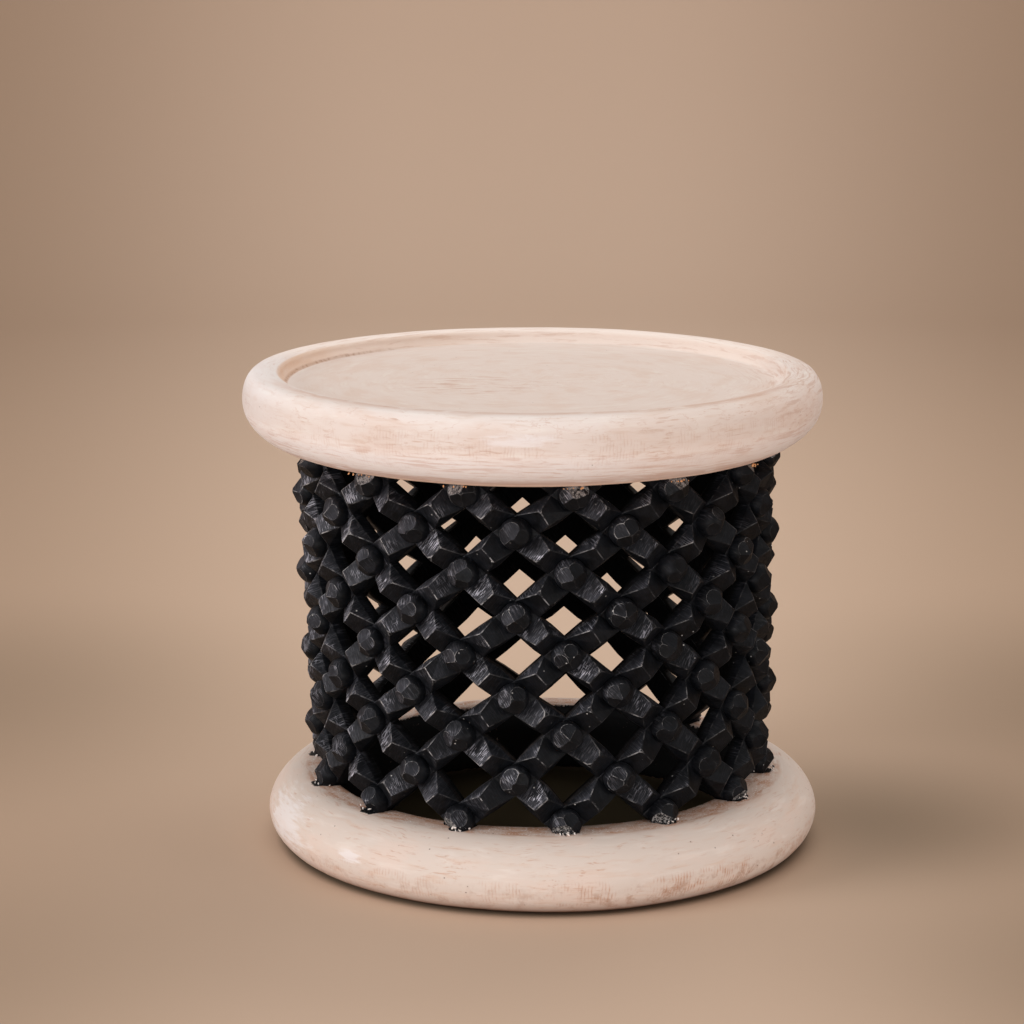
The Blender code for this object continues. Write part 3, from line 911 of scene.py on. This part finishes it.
VALLEY_RADIUS = LATTICE_RADIUS - VALLEY_DEPTH
BOTTOM_ROW_Z = BASE_HEIGHT + BOTTOM_ROW_RISE
TOP_ROW_Z = SEAT_UNDERSIDE_Z - TOP_ROW_DROP
DRUM_HEIGHT = SEAT_UNDERSIDE_Z - BASE_HEIGHT
ROW_RISE = (TOP_ROW_Z - BOTTOM_ROW_Z) / (CROSSING_ROWS - 1)
HALF_COLUMN_TURN = math.pi / BARS_EACH_WAY
BAR_SLOPE = math.atan2(ROW_RISE, LATTICE_RADIUS * HALF_COLUMN_TURN)
CORNERS = {
    "left": Vector((-BAR_WIDTH / 2 / math.sin(BAR_SLOPE), 0.0)),
    "right": Vector((BAR_WIDTH / 2 / math.sin(BAR_SLOPE), 0.0)),
    "bottom": Vector((0.0, -BAR_WIDTH / 2 / math.cos(BAR_SLOPE))),
    "top": Vector((0.0, BAR_WIDTH / 2 / math.cos(BAR_SLOPE))),
}
print(f"Rows {ROW_RISE:.4f} m apart, bars rise at {math.degrees(BAR_SLOPE):.1f} degrees")

# %% [markdown]
# Each crossing gets a small push of its own, and each of its corners another one. They are
# drawn once and kept. Both bars of a crossing read the same places, so they still meet. Two
# functions use them: one says where a crossing or its corner lies on the unrolled drum, and
# the other wraps such a place round the drum's axis.

# %% Net of crossings
carver = random.Random(7)


def stray(reach):
    """A small random step on the unrolled drum."""
    return Vector((carver.uniform(-reach, reach), carver.uniform(-reach, reach)))


strays = {}
for row in range(CROSSING_ROWS + 1):
    for half_column in range(row % 2, 2 * BARS_EACH_WAY, 2):
        middle_stray = stray(WANDER)
        strays[row, half_column] = {name: middle_stray + stray(CORNER_WANDER) for name in CORNERS}
        strays[row, half_column]["middle"] = middle_stray


def crossing_place(row, half_column, name="middle"):
    """Where a crossing's middle or corner lies on the unrolled drum."""
    turn = FIRST_KNOB_TURN + HALF_COLUMN_TURN * half_column
    backness = (1 - math.cos(turn)) / 2
    rise, drift, tilt = ROW_DRIFTS[row]
    rise = (rise + tilt * math.sin(turn)) * (1 - backness)
    turn += BACK_TURN * backness + math.radians(drift) * (1 - backness)
    true_place = Vector((LATTICE_RADIUS * turn, BOTTOM_ROW_Z + ROW_RISE * row + rise))
    key = (row, half_column % (2 * BARS_EACH_WAY))
    return true_place + CORNERS.get(name, Vector((0.0, 0.0))) + strays[key][name]


def wrap(flat, radius):
    """A place on the unrolled drum, wrapped to a radius round the drum's axis."""
    turn = flat.x / LATTICE_RADIUS
    radius += LEFT_LEAN * max(0.0, -math.sin(turn)) ** 2 * (2 * (flat.y - BASE_HEIGHT) / DRUM_HEIGHT - 1)
    return Vector((radius * math.sin(turn) + DRUM_X, -radius * math.cos(turn), flat.y))


print(f"{len(strays)} crossings")

# %% [markdown]
# Between two crossings a bar stands out as a block with a hipped top, like a small roof. A
# short ridge lies across the middle. Two wide faces fall from it to the crossings, and two
# narrow ones to the sides. A bar goes straight through its crossings at the level of the low
# ground. The other bar goes through the same place, and the two grow together there as in
# the real wood.

# %% One bar
RIDGE_LENGTH = 0.0145
RIDGE_TURN_SHARES = {1: 0.1, -1: 0.4}    # 0 is square across the bar, 1 is along the other bars
RIDGE_WANDER = 0.0011
RIDGE_LENGTH_WANDER = 0.0012
RIDGE_LEVEL_WANDER = 0.0007
RIDGE_TURN_WANDER = 0.12
SIDE_BULGES = (0.0001, 0.0015)    # how far the side of a block swells out
BULGE_PLACES = (0.4, 0.6)         # and where, as a share of the block's length
UNDER_LAP = 0.0004       # a falling bar passes this much lower through a crossing
LEAVING = {1: ("top", "right"), -1: ("left", "top")}
ARRIVING = {1: ("left", "bottom"), -1: ("bottom", "right")}


def edge_pair(bm, row, half_column, names, lean):
    """Two lines of vertices through the wall, where a bar leaves or reaches a crossing."""
    lap = UNDER_LAP if lean < 0 else 0.0
    pair = []
    for name in names:
        flat = crossing_place(row, half_column, name)
        inner = bm.verts.new(wrap(flat, HOLLOW_RADIUS + lap))
        outer = bm.verts.new(wrap(flat, VALLEY_RADIUS - lap))
        pair.append((inner, outer, flat))
    return pair


def hipped_block(bm, start, end, lean):
    """One stretch between two crossings."""
    left_middle = start[0][2].lerp(end[0][2], 0.5)
    right_middle = start[1][2].lerp(end[1][2], 0.5)
    middle = left_middle.lerp(right_middle, 0.5) + stray(RIDGE_WANDER)
    along = (end[0][2] - start[0][2]).normalized()
    square_across = Vector((along.y, -along.x))
    beside = (right_middle - left_middle).normalized()
    turn_share = RIDGE_TURN_SHARES[lean] + carver.uniform(-1, 1) * RIDGE_TURN_WANDER
    ridge_way = square_across.lerp(beside, turn_share).normalized()
    half_ridge = (RIDGE_LENGTH + carver.uniform(-1, 1) * RIDGE_LENGTH_WANDER) / 2
    level = LATTICE_RADIUS - RIDGE_LEVEL_WANDER + carver.uniform(-1, 1) * RIDGE_LEVEL_WANDER
    lap = UNDER_LAP if lean < 0 else 0.0
    ridge, swellings = [], []
    for side, near, far in zip((-1, 1), start, end):
        ridge.append(bm.verts.new(wrap(middle + side * ridge_way * half_ridge, level)))
        bulge = near[2].lerp(far[2], carver.uniform(*BULGE_PLACES))
        bulge += side * square_across * carver.uniform(*SIDE_BULGES)
        radii = (HOLLOW_RADIUS + lap, VALLEY_RADIUS - lap)
        swellings.append([bm.verts.new(wrap(bulge, radius)) for radius in radii])
    bm.faces.new((start[0][1], start[1][1], ridge[1], ridge[0]))
    bm.faces.new((ridge[0], ridge[1], end[1][1], end[0][1]))
    for near, far, peak, (inner, outer) in zip(start, end, ridge, swellings):
        bm.faces.new((near[1], peak, outer))
        bm.faces.new((outer, peak, far[1]))
        bm.faces.new((near[0], inner, outer, near[1]))
        bm.faces.new((inner, far[0], far[1], outer))
    left, right = swellings[0][0], swellings[1][0]
    bm.faces.new((start[0][0], start[1][0], right, left))
    bm.faces.new((left, right, end[1][0], end[0][0]))
    return ridge


def bare_crossing(bm, start, end):
    """The stretch through a crossing, flat on top."""
    bm.faces.new((start[0][1], start[1][1], end[1][1], end[0][1]))
    bm.faces.new((start[0][0], start[1][0], end[1][0], end[0][0]))
    for near, far in zip(start, end):
        bm.faces.new((near[0], far[0], far[1], near[1]))


# %% [markdown]
# A hewn edge is never razor sharp, and this one is rubbed where hands and floors touched it.
# So the outward edges are chamfered by half a millimetre, and the new narrow faces get a
# lighter, worn paint by a material number of their own. A few corners are chipped off
# first: a chip is a corner cut back by one to three millimetres. The numbers stand for the
# paints of a bar, in the order in which they are given to it later.

# %% Worn edges and chips
EDGE_CHAMFER = 0.00055
SHARP_ANGLE = math.radians(22)
CHIP_CHANCE = 0.3
CHIP_SIZES = (0.0012, 0.0032)
PAINTED, WORN, SCRAPED, ON_KNOB, KNOB_FACET = 0, 1, 2, 3, 4


def chip_corners(bm, corners):
    """Cut back a few corners by different amounts."""
    for corner in corners:
        if corner.is_valid and carver.random() < CHIP_CHANCE:
            size = carver.uniform(*CHIP_SIZES)
            bmesh.ops.bevel(bm, geom=[corner], offset=size, segments=1, profile=0.5, affect="VERTICES")


def chamfer_edges(bm, width, paint=WORN):
    """Chamfer the outward edges, and give the chamfers a paint of their own."""
    bmesh.ops.recalc_face_normals(bm, faces=bm.faces)
    outward = [e for e in bm.edges if e.is_manifold and e.calc_face_angle_signed() > SHARP_ANGLE]
    bmesh.ops.bevel(
        bm, geom=outward, offset=width, segments=1, profile=0.5,
        affect="EDGES", clamp_overlap=True, material=paint,
    )


# %% [markdown]
# A bar starts at its crossing in the lowest row, which stands right on the base, and ends one
# stretch past the highest row. Then it is cut off level a little way inside the base and the
# seat. The wood is one piece there.

# %% Whole bars
ROOT_DEPTH = 0.003       # how deep a bar goes into the base and the seat


def cut_level(bm, z, keep):
    """Cut level at a height, keep the part above (1) or below (-1), and close it."""
    everything = [*bm.verts, *bm.edges, *bm.faces]
    bmesh.ops.bisect_plane(
        bm, geom=everything, dist=0.0, plane_co=(0.0, 0.0, z), plane_no=(0.0, 0.0, keep), clear_inner=True
    )
    bmesh.ops.holes_fill(bm, edges=[edge for edge in bm.edges if edge.is_boundary], sides=0)


def hewn_bar(number, lean):
    """One bar of the drum. Its lean is 1 if it rises to the right and -1 if it falls."""
    bm = bmesh.new()
    corners = []
    arriving = edge_pair(bm, 0, 2 * number, ARRIVING[lean], lean)
    bm.faces.new((arriving[0][0], arriving[0][1], arriving[1][1], arriving[1][0]))
    for row in range(CROSSING_ROWS):
        leaving = edge_pair(bm, row, 2 * number + lean * row, LEAVING[lean], lean)
        bare_crossing(bm, arriving, leaving)
        arriving = edge_pair(bm, row + 1, 2 * number + lean * (row + 1), ARRIVING[lean], lean)
        corners += hipped_block(bm, leaving, arriving, lean)
    bm.faces.new((arriving[0][0], arriving[0][1], arriving[1][1], arriving[1][0]))
    chip_corners(bm, corners)
    chamfer_edges(bm, EDGE_CHAMFER)
    cut_level(bm, BASE_HEIGHT - ROOT_DEPTH, 1)
    cut_level(bm, SEAT_UNDERSIDE_Z + ROOT_DEPTH, -1)
    return bm


# %% [markdown]
# Each crossing carries a knob about the size of a cherry. It began as a ball and was hewn
# with a few strokes: three to five wide facets meet near its tip, and plain roundness is left
# below them. So a ball is cut by a handful of planes, each of which leaves a flat facet.
# The knobs of the lowest row were scraped off where they meet the base, and those of the
# highest row where they meet the seat.

# %% One knob
KNOB_RADIUS = 0.0136
KNOB_CENTRE_LIFT = 0.0027    # of its centre out from the low ground
KNOB_SIZES = (0.95, 1.0)
KNOB_DENTS = 0.03
FACET_SHARES = (0.82, 0.88)  # how far out a facet lies, as a share of the knob's radius
FACET_TIPS = (28, 42)        # degrees between straight out and the way a facet looks
FACET_WANDER = 0.18
SCRAPE_SHARE = 0.66          # how far out the scraped facets lie
HEWN_CLOSENESS = 0.00005     # a plane passes this close to a corner without cutting it again
FINEST_EDGE = 0.0002


def hew(bm, way, reach, paint=KNOB_FACET):
    """Cut off what lies further than a reach along a way, and close the cut with a flat facet."""
    way = way.normalized()
    everything = [*bm.verts, *bm.edges, *bm.faces]
    bmesh.ops.bisect_plane(
        bm, geom=everything, dist=HEWN_CLOSENESS, plane_co=way * reach, plane_no=way, clear_outer=True
    )
    filled = bmesh.ops.holes_fill(bm, edges=[edge for edge in bm.edges if edge.is_boundary], sides=0)
    for face in filled["faces"]:
        face.material_index = paint
        face.smooth = False


def hewn_knob(row):
    """A knob round its own centre: its tip points along +Z, and +Y is up on the stool."""
    bm = bmesh.new()
    radius = KNOB_RADIUS * carver.uniform(*KNOB_SIZES)
    bmesh.ops.create_icosphere(bm, subdivisions=3, radius=radius)
    lump = Vector((carver.uniform(0, 9), row, carver.uniform(0, 9)))
    for vertex in bm.verts:
        vertex.co *= 1 - KNOB_DENTS * abs(noise.noise(vertex.co / radius + lump))
    for face in bm.faces:
        face.smooth = True
        face.material_index = ON_KNOB
    leaning = Vector((carver.uniform(-0.22, 0.12), carver.uniform(-0.2, 0.12), 0.0))
    first_turn = carver.uniform(0, math.tau)
    facets = carver.choice((3, 4, 4, 5))
    for facet in range(facets):
        turn = first_turn + math.tau * (facet + carver.uniform(-1, 1) * FACET_WANDER) / facets
        tip = math.radians(carver.uniform(*FACET_TIPS))
        way = Vector((math.cos(turn) * math.sin(tip), math.sin(turn) * math.sin(tip), math.cos(tip)))
        hew(bm, way + leaning, radius * carver.uniform(*FACET_SHARES))
    if row == 0:
        hew(bm, Vector((carver.uniform(-0.7, 0.1), -0.55, 0.85)), radius * SCRAPE_SHARE, SCRAPED)
    if row == CROSSING_ROWS - 1:
        hew(bm, Vector((carver.uniform(-0.7, 0.3), 0.7, 0.7)), radius * SCRAPE_SHARE, SCRAPED)
    bmesh.ops.remove_doubles(bm, verts=bm.verts, dist=FINEST_EDGE)
    chamfer_edges(bm, EDGE_CHAMFER * 0.5)
    return bm


# %% [markdown]
# A knob is made round its own centre. So it is turned until its tip points straight away from
# the drum's axis, moved to its crossing, and joined to the mesh of the bar that carries it.

# %% Setting a knob
def set_knob(bm, row, half_column):
    """Add a knob to a bar at a crossing, standing square off the drum."""
    flat = crossing_place(row, half_column)
    turn = flat.x / LATTICE_RADIUS
    knob = hewn_knob(row)
    outward = Vector((math.sin(turn), -math.cos(turn), 0.0))
    sideways = Vector((math.cos(turn), math.sin(turn), 0.0))
    axes = Matrix((sideways, Vector((0.0, 0.0, 1.0)), outward)).transposed().to_4x4()
    place = Matrix.Translation(wrap(flat, VALLEY_RADIUS + KNOB_CENTRE_LIFT)) @ axes
    bmesh.ops.transform(knob, matrix=place, verts=knob.verts)
    spare = bpy.data.meshes.new("spare_knob")
    knob.to_mesh(spare)
    knob.free()
    bm.from_mesh(spare)
    bpy.data.meshes.remove(spare)


# %% [markdown]
# The paint of the lattice was brushed on, then handled and scraped. Three masks tell that
# story. Fine strokes of a dry brush run along and across the bars. Dust, together with painted
# sheen of the key lamp, lies on the facets that face up and to the front left. Scuffs are the
# borders between scattered points, bent by noise.

# %% Strokes, dust and painted sheen, and scuffs
STROKE_LENGTH = 0.0070
STROKE_WIDTH = 0.00056
STROKE_DEPTH_SCALE = 90.0
STROKE_SETS = (          # tilt to the bar, seed, noise above which strokes begin, strength
    (0.0, 2.0, 0.60, 0.55), (math.pi / 2, 9.0, 0.52, 1.0),
)
# Dust and painted sheen of the key lamp lie on faces turned this way.
DUST_AND_SHEEN_WAY = (-0.74, -0.34, 0.58)
LEDGE_SHARE = 0.35


def strokes(places, lean):
    """Fine strokes of a dry brush along the bar and across it, from 0 to 1."""
    unrolled = place_of(places.tree, X=places.turn * LATTICE_RADIUS, Y=places.height)
    drawn = []
    for tilt, seed, low, strength in STROKE_SETS:
        turned = {"Vector": unrolled, "Angle": -lean * (BAR_SLOPE + tilt)}
        aligned = add_node(places.tree, "ShaderNodeVectorRotate", turned, rotation_type="Z_AXIS")
        where = vector("MULTIPLY", aligned, (1 / STROKE_LENGTH, 1 / STROKE_WIDTH, 1.0))
        drawn_noise = noise_at(where, 1.0, 1.0, fourth=places.radius * STROKE_DEPTH_SCALE + seed)
        drawn.append(strength * fade(drawn_noise, low, low + 0.12))
    return maths("MAXIMUM", *drawn)


def dust_and_sheen_side(tree, low=0.3, high=0.95):
    """How far a face looks up and to the front left, or up alone, which counts for less. It masks dust,
    painted sheen and painted highlights.
    """
    normal = add_node(tree, "ShaderNodeNewGeometry", output="Normal")
    facing = fade(vector("DOT_PRODUCT", normal, DUST_AND_SHEEN_WAY), low, high)
    return maths("MAXIMUM", facing, LEDGE_SHARE * fade(parts(normal)[2], 0.4, 0.95))


def scuffs(places, size, seed):
    """A net of thin wandering lines."""
    bent = noise_at(places.place, 0.7 / size, 3.0, output="Color")
    shifted = vector("ADD", vector("SCALE", bent, 1.4 * size), (seed, 0.0, 0.0))
    borders = from_points(vector("ADD", places.place, shifted), size, "DISTANCE_TO_EDGE")
    return fade(borders, 0.12, 0.02)


# %% [markdown]
# The paint itself is a matt charcoal black. On the right of the drum there is less dust and
# painted sheen, which is painted shade on the side turned from the key lamp, and the falling
# bars have more strokes and painted sheen, as their upper faces catch the key lamp. The edges
# are rubbed pale, on knobs mostly near the tip, and are painted brighter where they face the
# light, and tiny specks show where grit knocked the paint off. Inside the drum the wood is the
# blackest: black paint made darker by painted shade.

# %% Charcoal paint
CHARCOAL = (0.0016, 0.0021, 0.0030)
CHARCOAL_LIGHT = (0.0060, 0.0071, 0.0096)
# black paint inside the drum, darkened further by painted shade
INSIDE_PAINT_AND_SHADE = (0.0009, 0.0009, 0.0010)
# the colour of dust together with painted sheen
DUST_AND_SHEEN_GREY = (0.072, 0.074, 0.090)
STROKE_GREY = (0.600, 0.602, 0.690)
WORN_GREY = (0.330, 0.324, 0.328)
SPECK_WHITE = (0.62, 0.61, 0.60)
# stronger on the falling bars, whose upper faces catch painted sheen of the key lamp
STROKES_AND_SHEEN_BY_LEAN = {1: 0.6, -1: 1.25}
# how much dust and painted sheen give way to painted shade on the right of the drum
SHADE_ON_RIGHT = 0.6
KNOB_TIP_RADIUS = VALLEY_RADIUS + KNOB_CENTRE_LIFT + KNOB_RADIUS * 0.94


def paint_finish(name, lean, dust_and_sheen_amount, wear, scraping, raised_radii):
    """Charcoal paint with more or less dust and painted sheen, wear and scraping, each from 0 to 1."""
    material, tree, shader = new_finish(name, 0.5, 0.12)
    places = Places(tree, DRUM_X)
    radius = places.radius
    mottle = fade(speckle(places, 0.0022, 4.0, 4.0, 0.7), 0.38, 0.72)
    clouds = fade(speckle(places, 0.011, 14.0), 0.35, 0.68)
    # Painted shade inside the drum, over its black paint.
    inside = fade(radius, VALLEY_RADIUS - 0.003, VALLEY_RADIUS - 0.010)
    on_knob = fade(radius, LATTICE_RADIUS + 0.0005, LATTICE_RADIUS + 0.0025)
    raised = 0.3 + 0.85 * fade(radius, *raised_radii)
    varied = 0.6 + 0.5 * fade(speckle(places, 0.03, 12.0), 0.3, 0.7)
    # Painted shade: less dust and sheen on the right of the drum, the side turned from the key lamp.
    painted_shade_on_right = SHADE_ON_RIGHT * fade(maths("SINE", places.turn), 0.2, 0.8)
    # Dust, and painted sheen where faces look towards the key lamp.
    dust_and_sheen = dust_and_sheen_amount * dust_and_sheen_side(tree) * raised * varied * (1.0 - inside) * (1.0 - painted_shade_on_right)
    # More strokes on the falling bars, as their lit faces carry more painted sheen.
    brushed = strokes(places, lean) * STROKES_AND_SHEEN_BY_LEAN[lean] * (1.0 - 0.6 * on_knob)
    patches = 0.2 + 1.5 * fade(speckle(places, 0.016, 23.0), 0.50, 0.62)
    layers = [
        (CHARCOAL_LIGHT, 0.7 * (0.4 * mottle + clouds)),
        (INSIDE_PAINT_AND_SHADE, inside),
        (DUST_AND_SHEEN_GREY, dust_and_sheen * (0.35 + 0.3 * clouds)),
        (STROKE_GREY, 0.78 * brushed * (0.012 + dust_and_sheen * patches)),
    ]
    if wear:
        broken = fade(speckle(places, 0.006, 8.0, 4.0, 0.65), 0.42, 0.62)
        below_tip = on_knob * fade(radius, KNOB_TIP_RADIUS - 0.0008, KNOB_TIP_RADIUS - 0.0028)
        on_top = fade(radius, raised_radii[0], raised_radii[1] + 0.001)
        on_top *= (1.0 - 0.92 * below_tip) * (1.0 - 0.3 * on_knob)
        # Painted highlight: rubbed edges show brighter where they face the light.
        facing_the_light = 0.12 + dust_and_sheen_side(tree, 0.05, 0.6)
        layers.append((WORN_GREY, wear * broken * facing_the_light * (0.1 + on_top)))
    if scraping:
        crumbs = fade(speckle(places, 0.003, 27.0, 4.0, 0.7), 0.5, 0.56)
        cuts = maths("MAXIMUM", scuffs(places, 0.0028, 5.0), crumbs)
        layers.append((SPECK_WHITE, scraping * cuts * fade(mottle, 0.0, 0.35)))
    specks = 0.8 * pores(places, 0.0085, 0.0009, 0.46)
    layers.append((SPECK_WHITE, specks * (1.0 - inside)))
    rough = maths("MAXIMUM", 0.42 + 0.2 * mottle, inside)
    relief = speckle(places, 0.009, 6.0, 3.0) + 0.12 * mottle
    join_shader(shader, lay_over(CHARCOAL, *layers), rough, relief, 0.5, 0.0008)
    return material


# %% [markdown]
# Now the twenty-eight bars are made, all by one loop. Each has five paints, in the order of
# the numbers given above: plain, rubbed edges, scraped, round knobs and facets of knobs. The
# rising bars lie outermost, so they carry the knobs. Each bar stands for its own solid of the
# frame.

# %% Lattice
ON_BARS = (VALLEY_RADIUS + 0.001, LATTICE_RADIUS)
ON_KNOBS = (VALLEY_RADIUS + 0.005, VALLEY_RADIUS + 0.016)
# Dust here is dust together with painted sheen.
PAINTS = (               # name, dust, wear, scraping, radii between which dust and wear set in
    ("", 1.0, 0.0, 0.0, ON_BARS),
    ("_rubbed_edges", 0.9, 0.9, 0.0, ON_BARS),
    ("_scraped", 0.8, 0.5, 0.5, ON_BARS),
    ("_on_knobs", 0.5, 0.0, 0.0, ON_KNOBS),
    ("_knob_facets", 0.85, 0.0, 0.0, ON_KNOBS),
)

lattice_faces = 0
for way, lean in (("rising", 1), ("falling", -1)):
    paints = [paint_finish(f"charcoal_{way}{kind}", lean, *amounts) for kind, *amounts in PAINTS]
    for number in range(BARS_EACH_WAY):
        bar_mesh = hewn_bar(number, lean)
        if lean > 0:
            for row in range(CROSSING_ROWS):
                set_knob(bar_mesh, row, 2 * number + row)
        hewn = add_mesh(f"hewn_{way}_bar_{number + 1:02d}", bar_mesh, *paints)
        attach(hewn, "root")
        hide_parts(f"{way}_bar_{number + 1:02d}")
        lattice_faces += len(hewn.data.polygons)
print(f"Lattice: {2 * BARS_EACH_WAY} bars, {lattice_faces} faces")

# %% [markdown]
# Where the knobs of the top row were hacked free of the seat, splinters of bare wood are left
# hanging at the joint. They are tiny, but they catch the light along a dark edge. All of them
# are one piece, which rides on the stool but stands for no solid of the frame.

# %% Splinters
SPLINTERS_EACH = 7
SPLINTER_SIZES = (0.0006, 0.0014)
SPLINTER_SPREAD = 0.006
SPLINTER_RADII = (0.2065, 0.2125)
SPLINTER_SINK = 0.0006
SPLINTER_TAN = linear(226, 172, 124)


def add_chip(bm, place, size, flatness):
    """A small sharp bit of wood, turned any way."""
    turned = Euler([carver.uniform(0, 3) for _ in range(3)]).to_matrix().to_4x4()
    shape = Matrix.Translation(place) @ turned
    shape @= Matrix.Diagonal((size, 0.6 * size, flatness * size, 1.0))
    bmesh.ops.create_icosphere(bm, subdivisions=1, radius=1.0, matrix=shape)


splinter_mesh = bmesh.new()
for column in range(BARS_EACH_WAY):
    knob_place = crossing_place(CROSSING_ROWS - 1, 2 * column)
    for splinter in range(SPLINTERS_EACH):
        flat = knob_place + Vector((carver.gauss(0, SPLINTER_SPREAD), 0.0))
        flat.y = SEAT_UNDERSIDE_Z + SPLINTER_SINK
        place = wrap(flat, carver.uniform(*SPLINTER_RADII))
        add_chip(splinter_mesh, place, carver.uniform(*SPLINTER_SIZES), 0.5)
splinter_wood, *_ = new_finish("bare_splinter_wood", 0.7, 0.3, SPLINTER_TAN)
splinters = add_mesh("splinters_under_the_seat", splinter_mesh, splinter_wood)
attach(splinters, "root")
print(f"{BARS_EACH_WAY * SPLINTERS_EACH} splinters")

# %% [markdown]
# Round the feet of the lowest knobs lie flakes of bare wood and of paint. They follow the
# shoulder of the base, which falls away outside. Each kind is one piece with its own finish.

# %% Flakes
FLAKES_EACH = 16
FLAKE_SIZES = (0.0007, 0.0019)
FLAKE_SPREAD = 0.75      # radians round the foot of a knob, from its front
FLAKE_REACHES = (0.0095, 0.0125)
FLAKE_RISES = (-0.0003, 0.0035)
FLAKE_WHITE = linear(228, 220, 214)
SHOULDER_STARTS = 0.2057
SHOULDER_FALL = 0.14

flake_meshes = {"bare": bmesh.new(), "painted": bmesh.new()}
for column in range(BARS_EACH_WAY):
    foot_turn = crossing_place(0, 2 * column).x / LATTICE_RADIUS
    foot = wrap(Vector((foot_turn * LATTICE_RADIUS, BASE_HEIGHT)), VALLEY_RADIUS + KNOB_CENTRE_LIFT)
    for flake in range(FLAKES_EACH):
        way = foot_turn + carver.gauss(0, FLAKE_SPREAD)
        reach = carver.uniform(*FLAKE_REACHES)
        place = foot + Vector((math.sin(way), -math.cos(way), 0.0)) * reach
        outside = max(0.0, math.hypot(place.x - BASE_X, place.y) - SHOULDER_STARTS)
        place.z += carver.uniform(*FLAKE_RISES) - SHOULDER_FALL * outside
        kind = carver.choice(("bare", "painted"))
        add_chip(flake_meshes[kind], place, carver.uniform(*FLAKE_SIZES), 0.35)
flake_wood, *_ = new_finish("bare_flake_wood", 0.6, 0.3, FLAKE_WHITE)
flake_paint, *_ = new_finish("flake_paint", 0.5, 0.2, CHARCOAL_LIGHT)
flake_looks = {"bare": (flake_wood, "bleached_wood"), "painted": (flake_paint, "charcoal_paint")}
for kind, (finish, slot) in flake_looks.items():
    flakes = add_mesh(f"{kind}_flakes_at_the_base", flake_meshes[kind], finish)
    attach(flakes, "root")
print(f"{BARS_EACH_WAY * FLAKES_EACH} flakes")
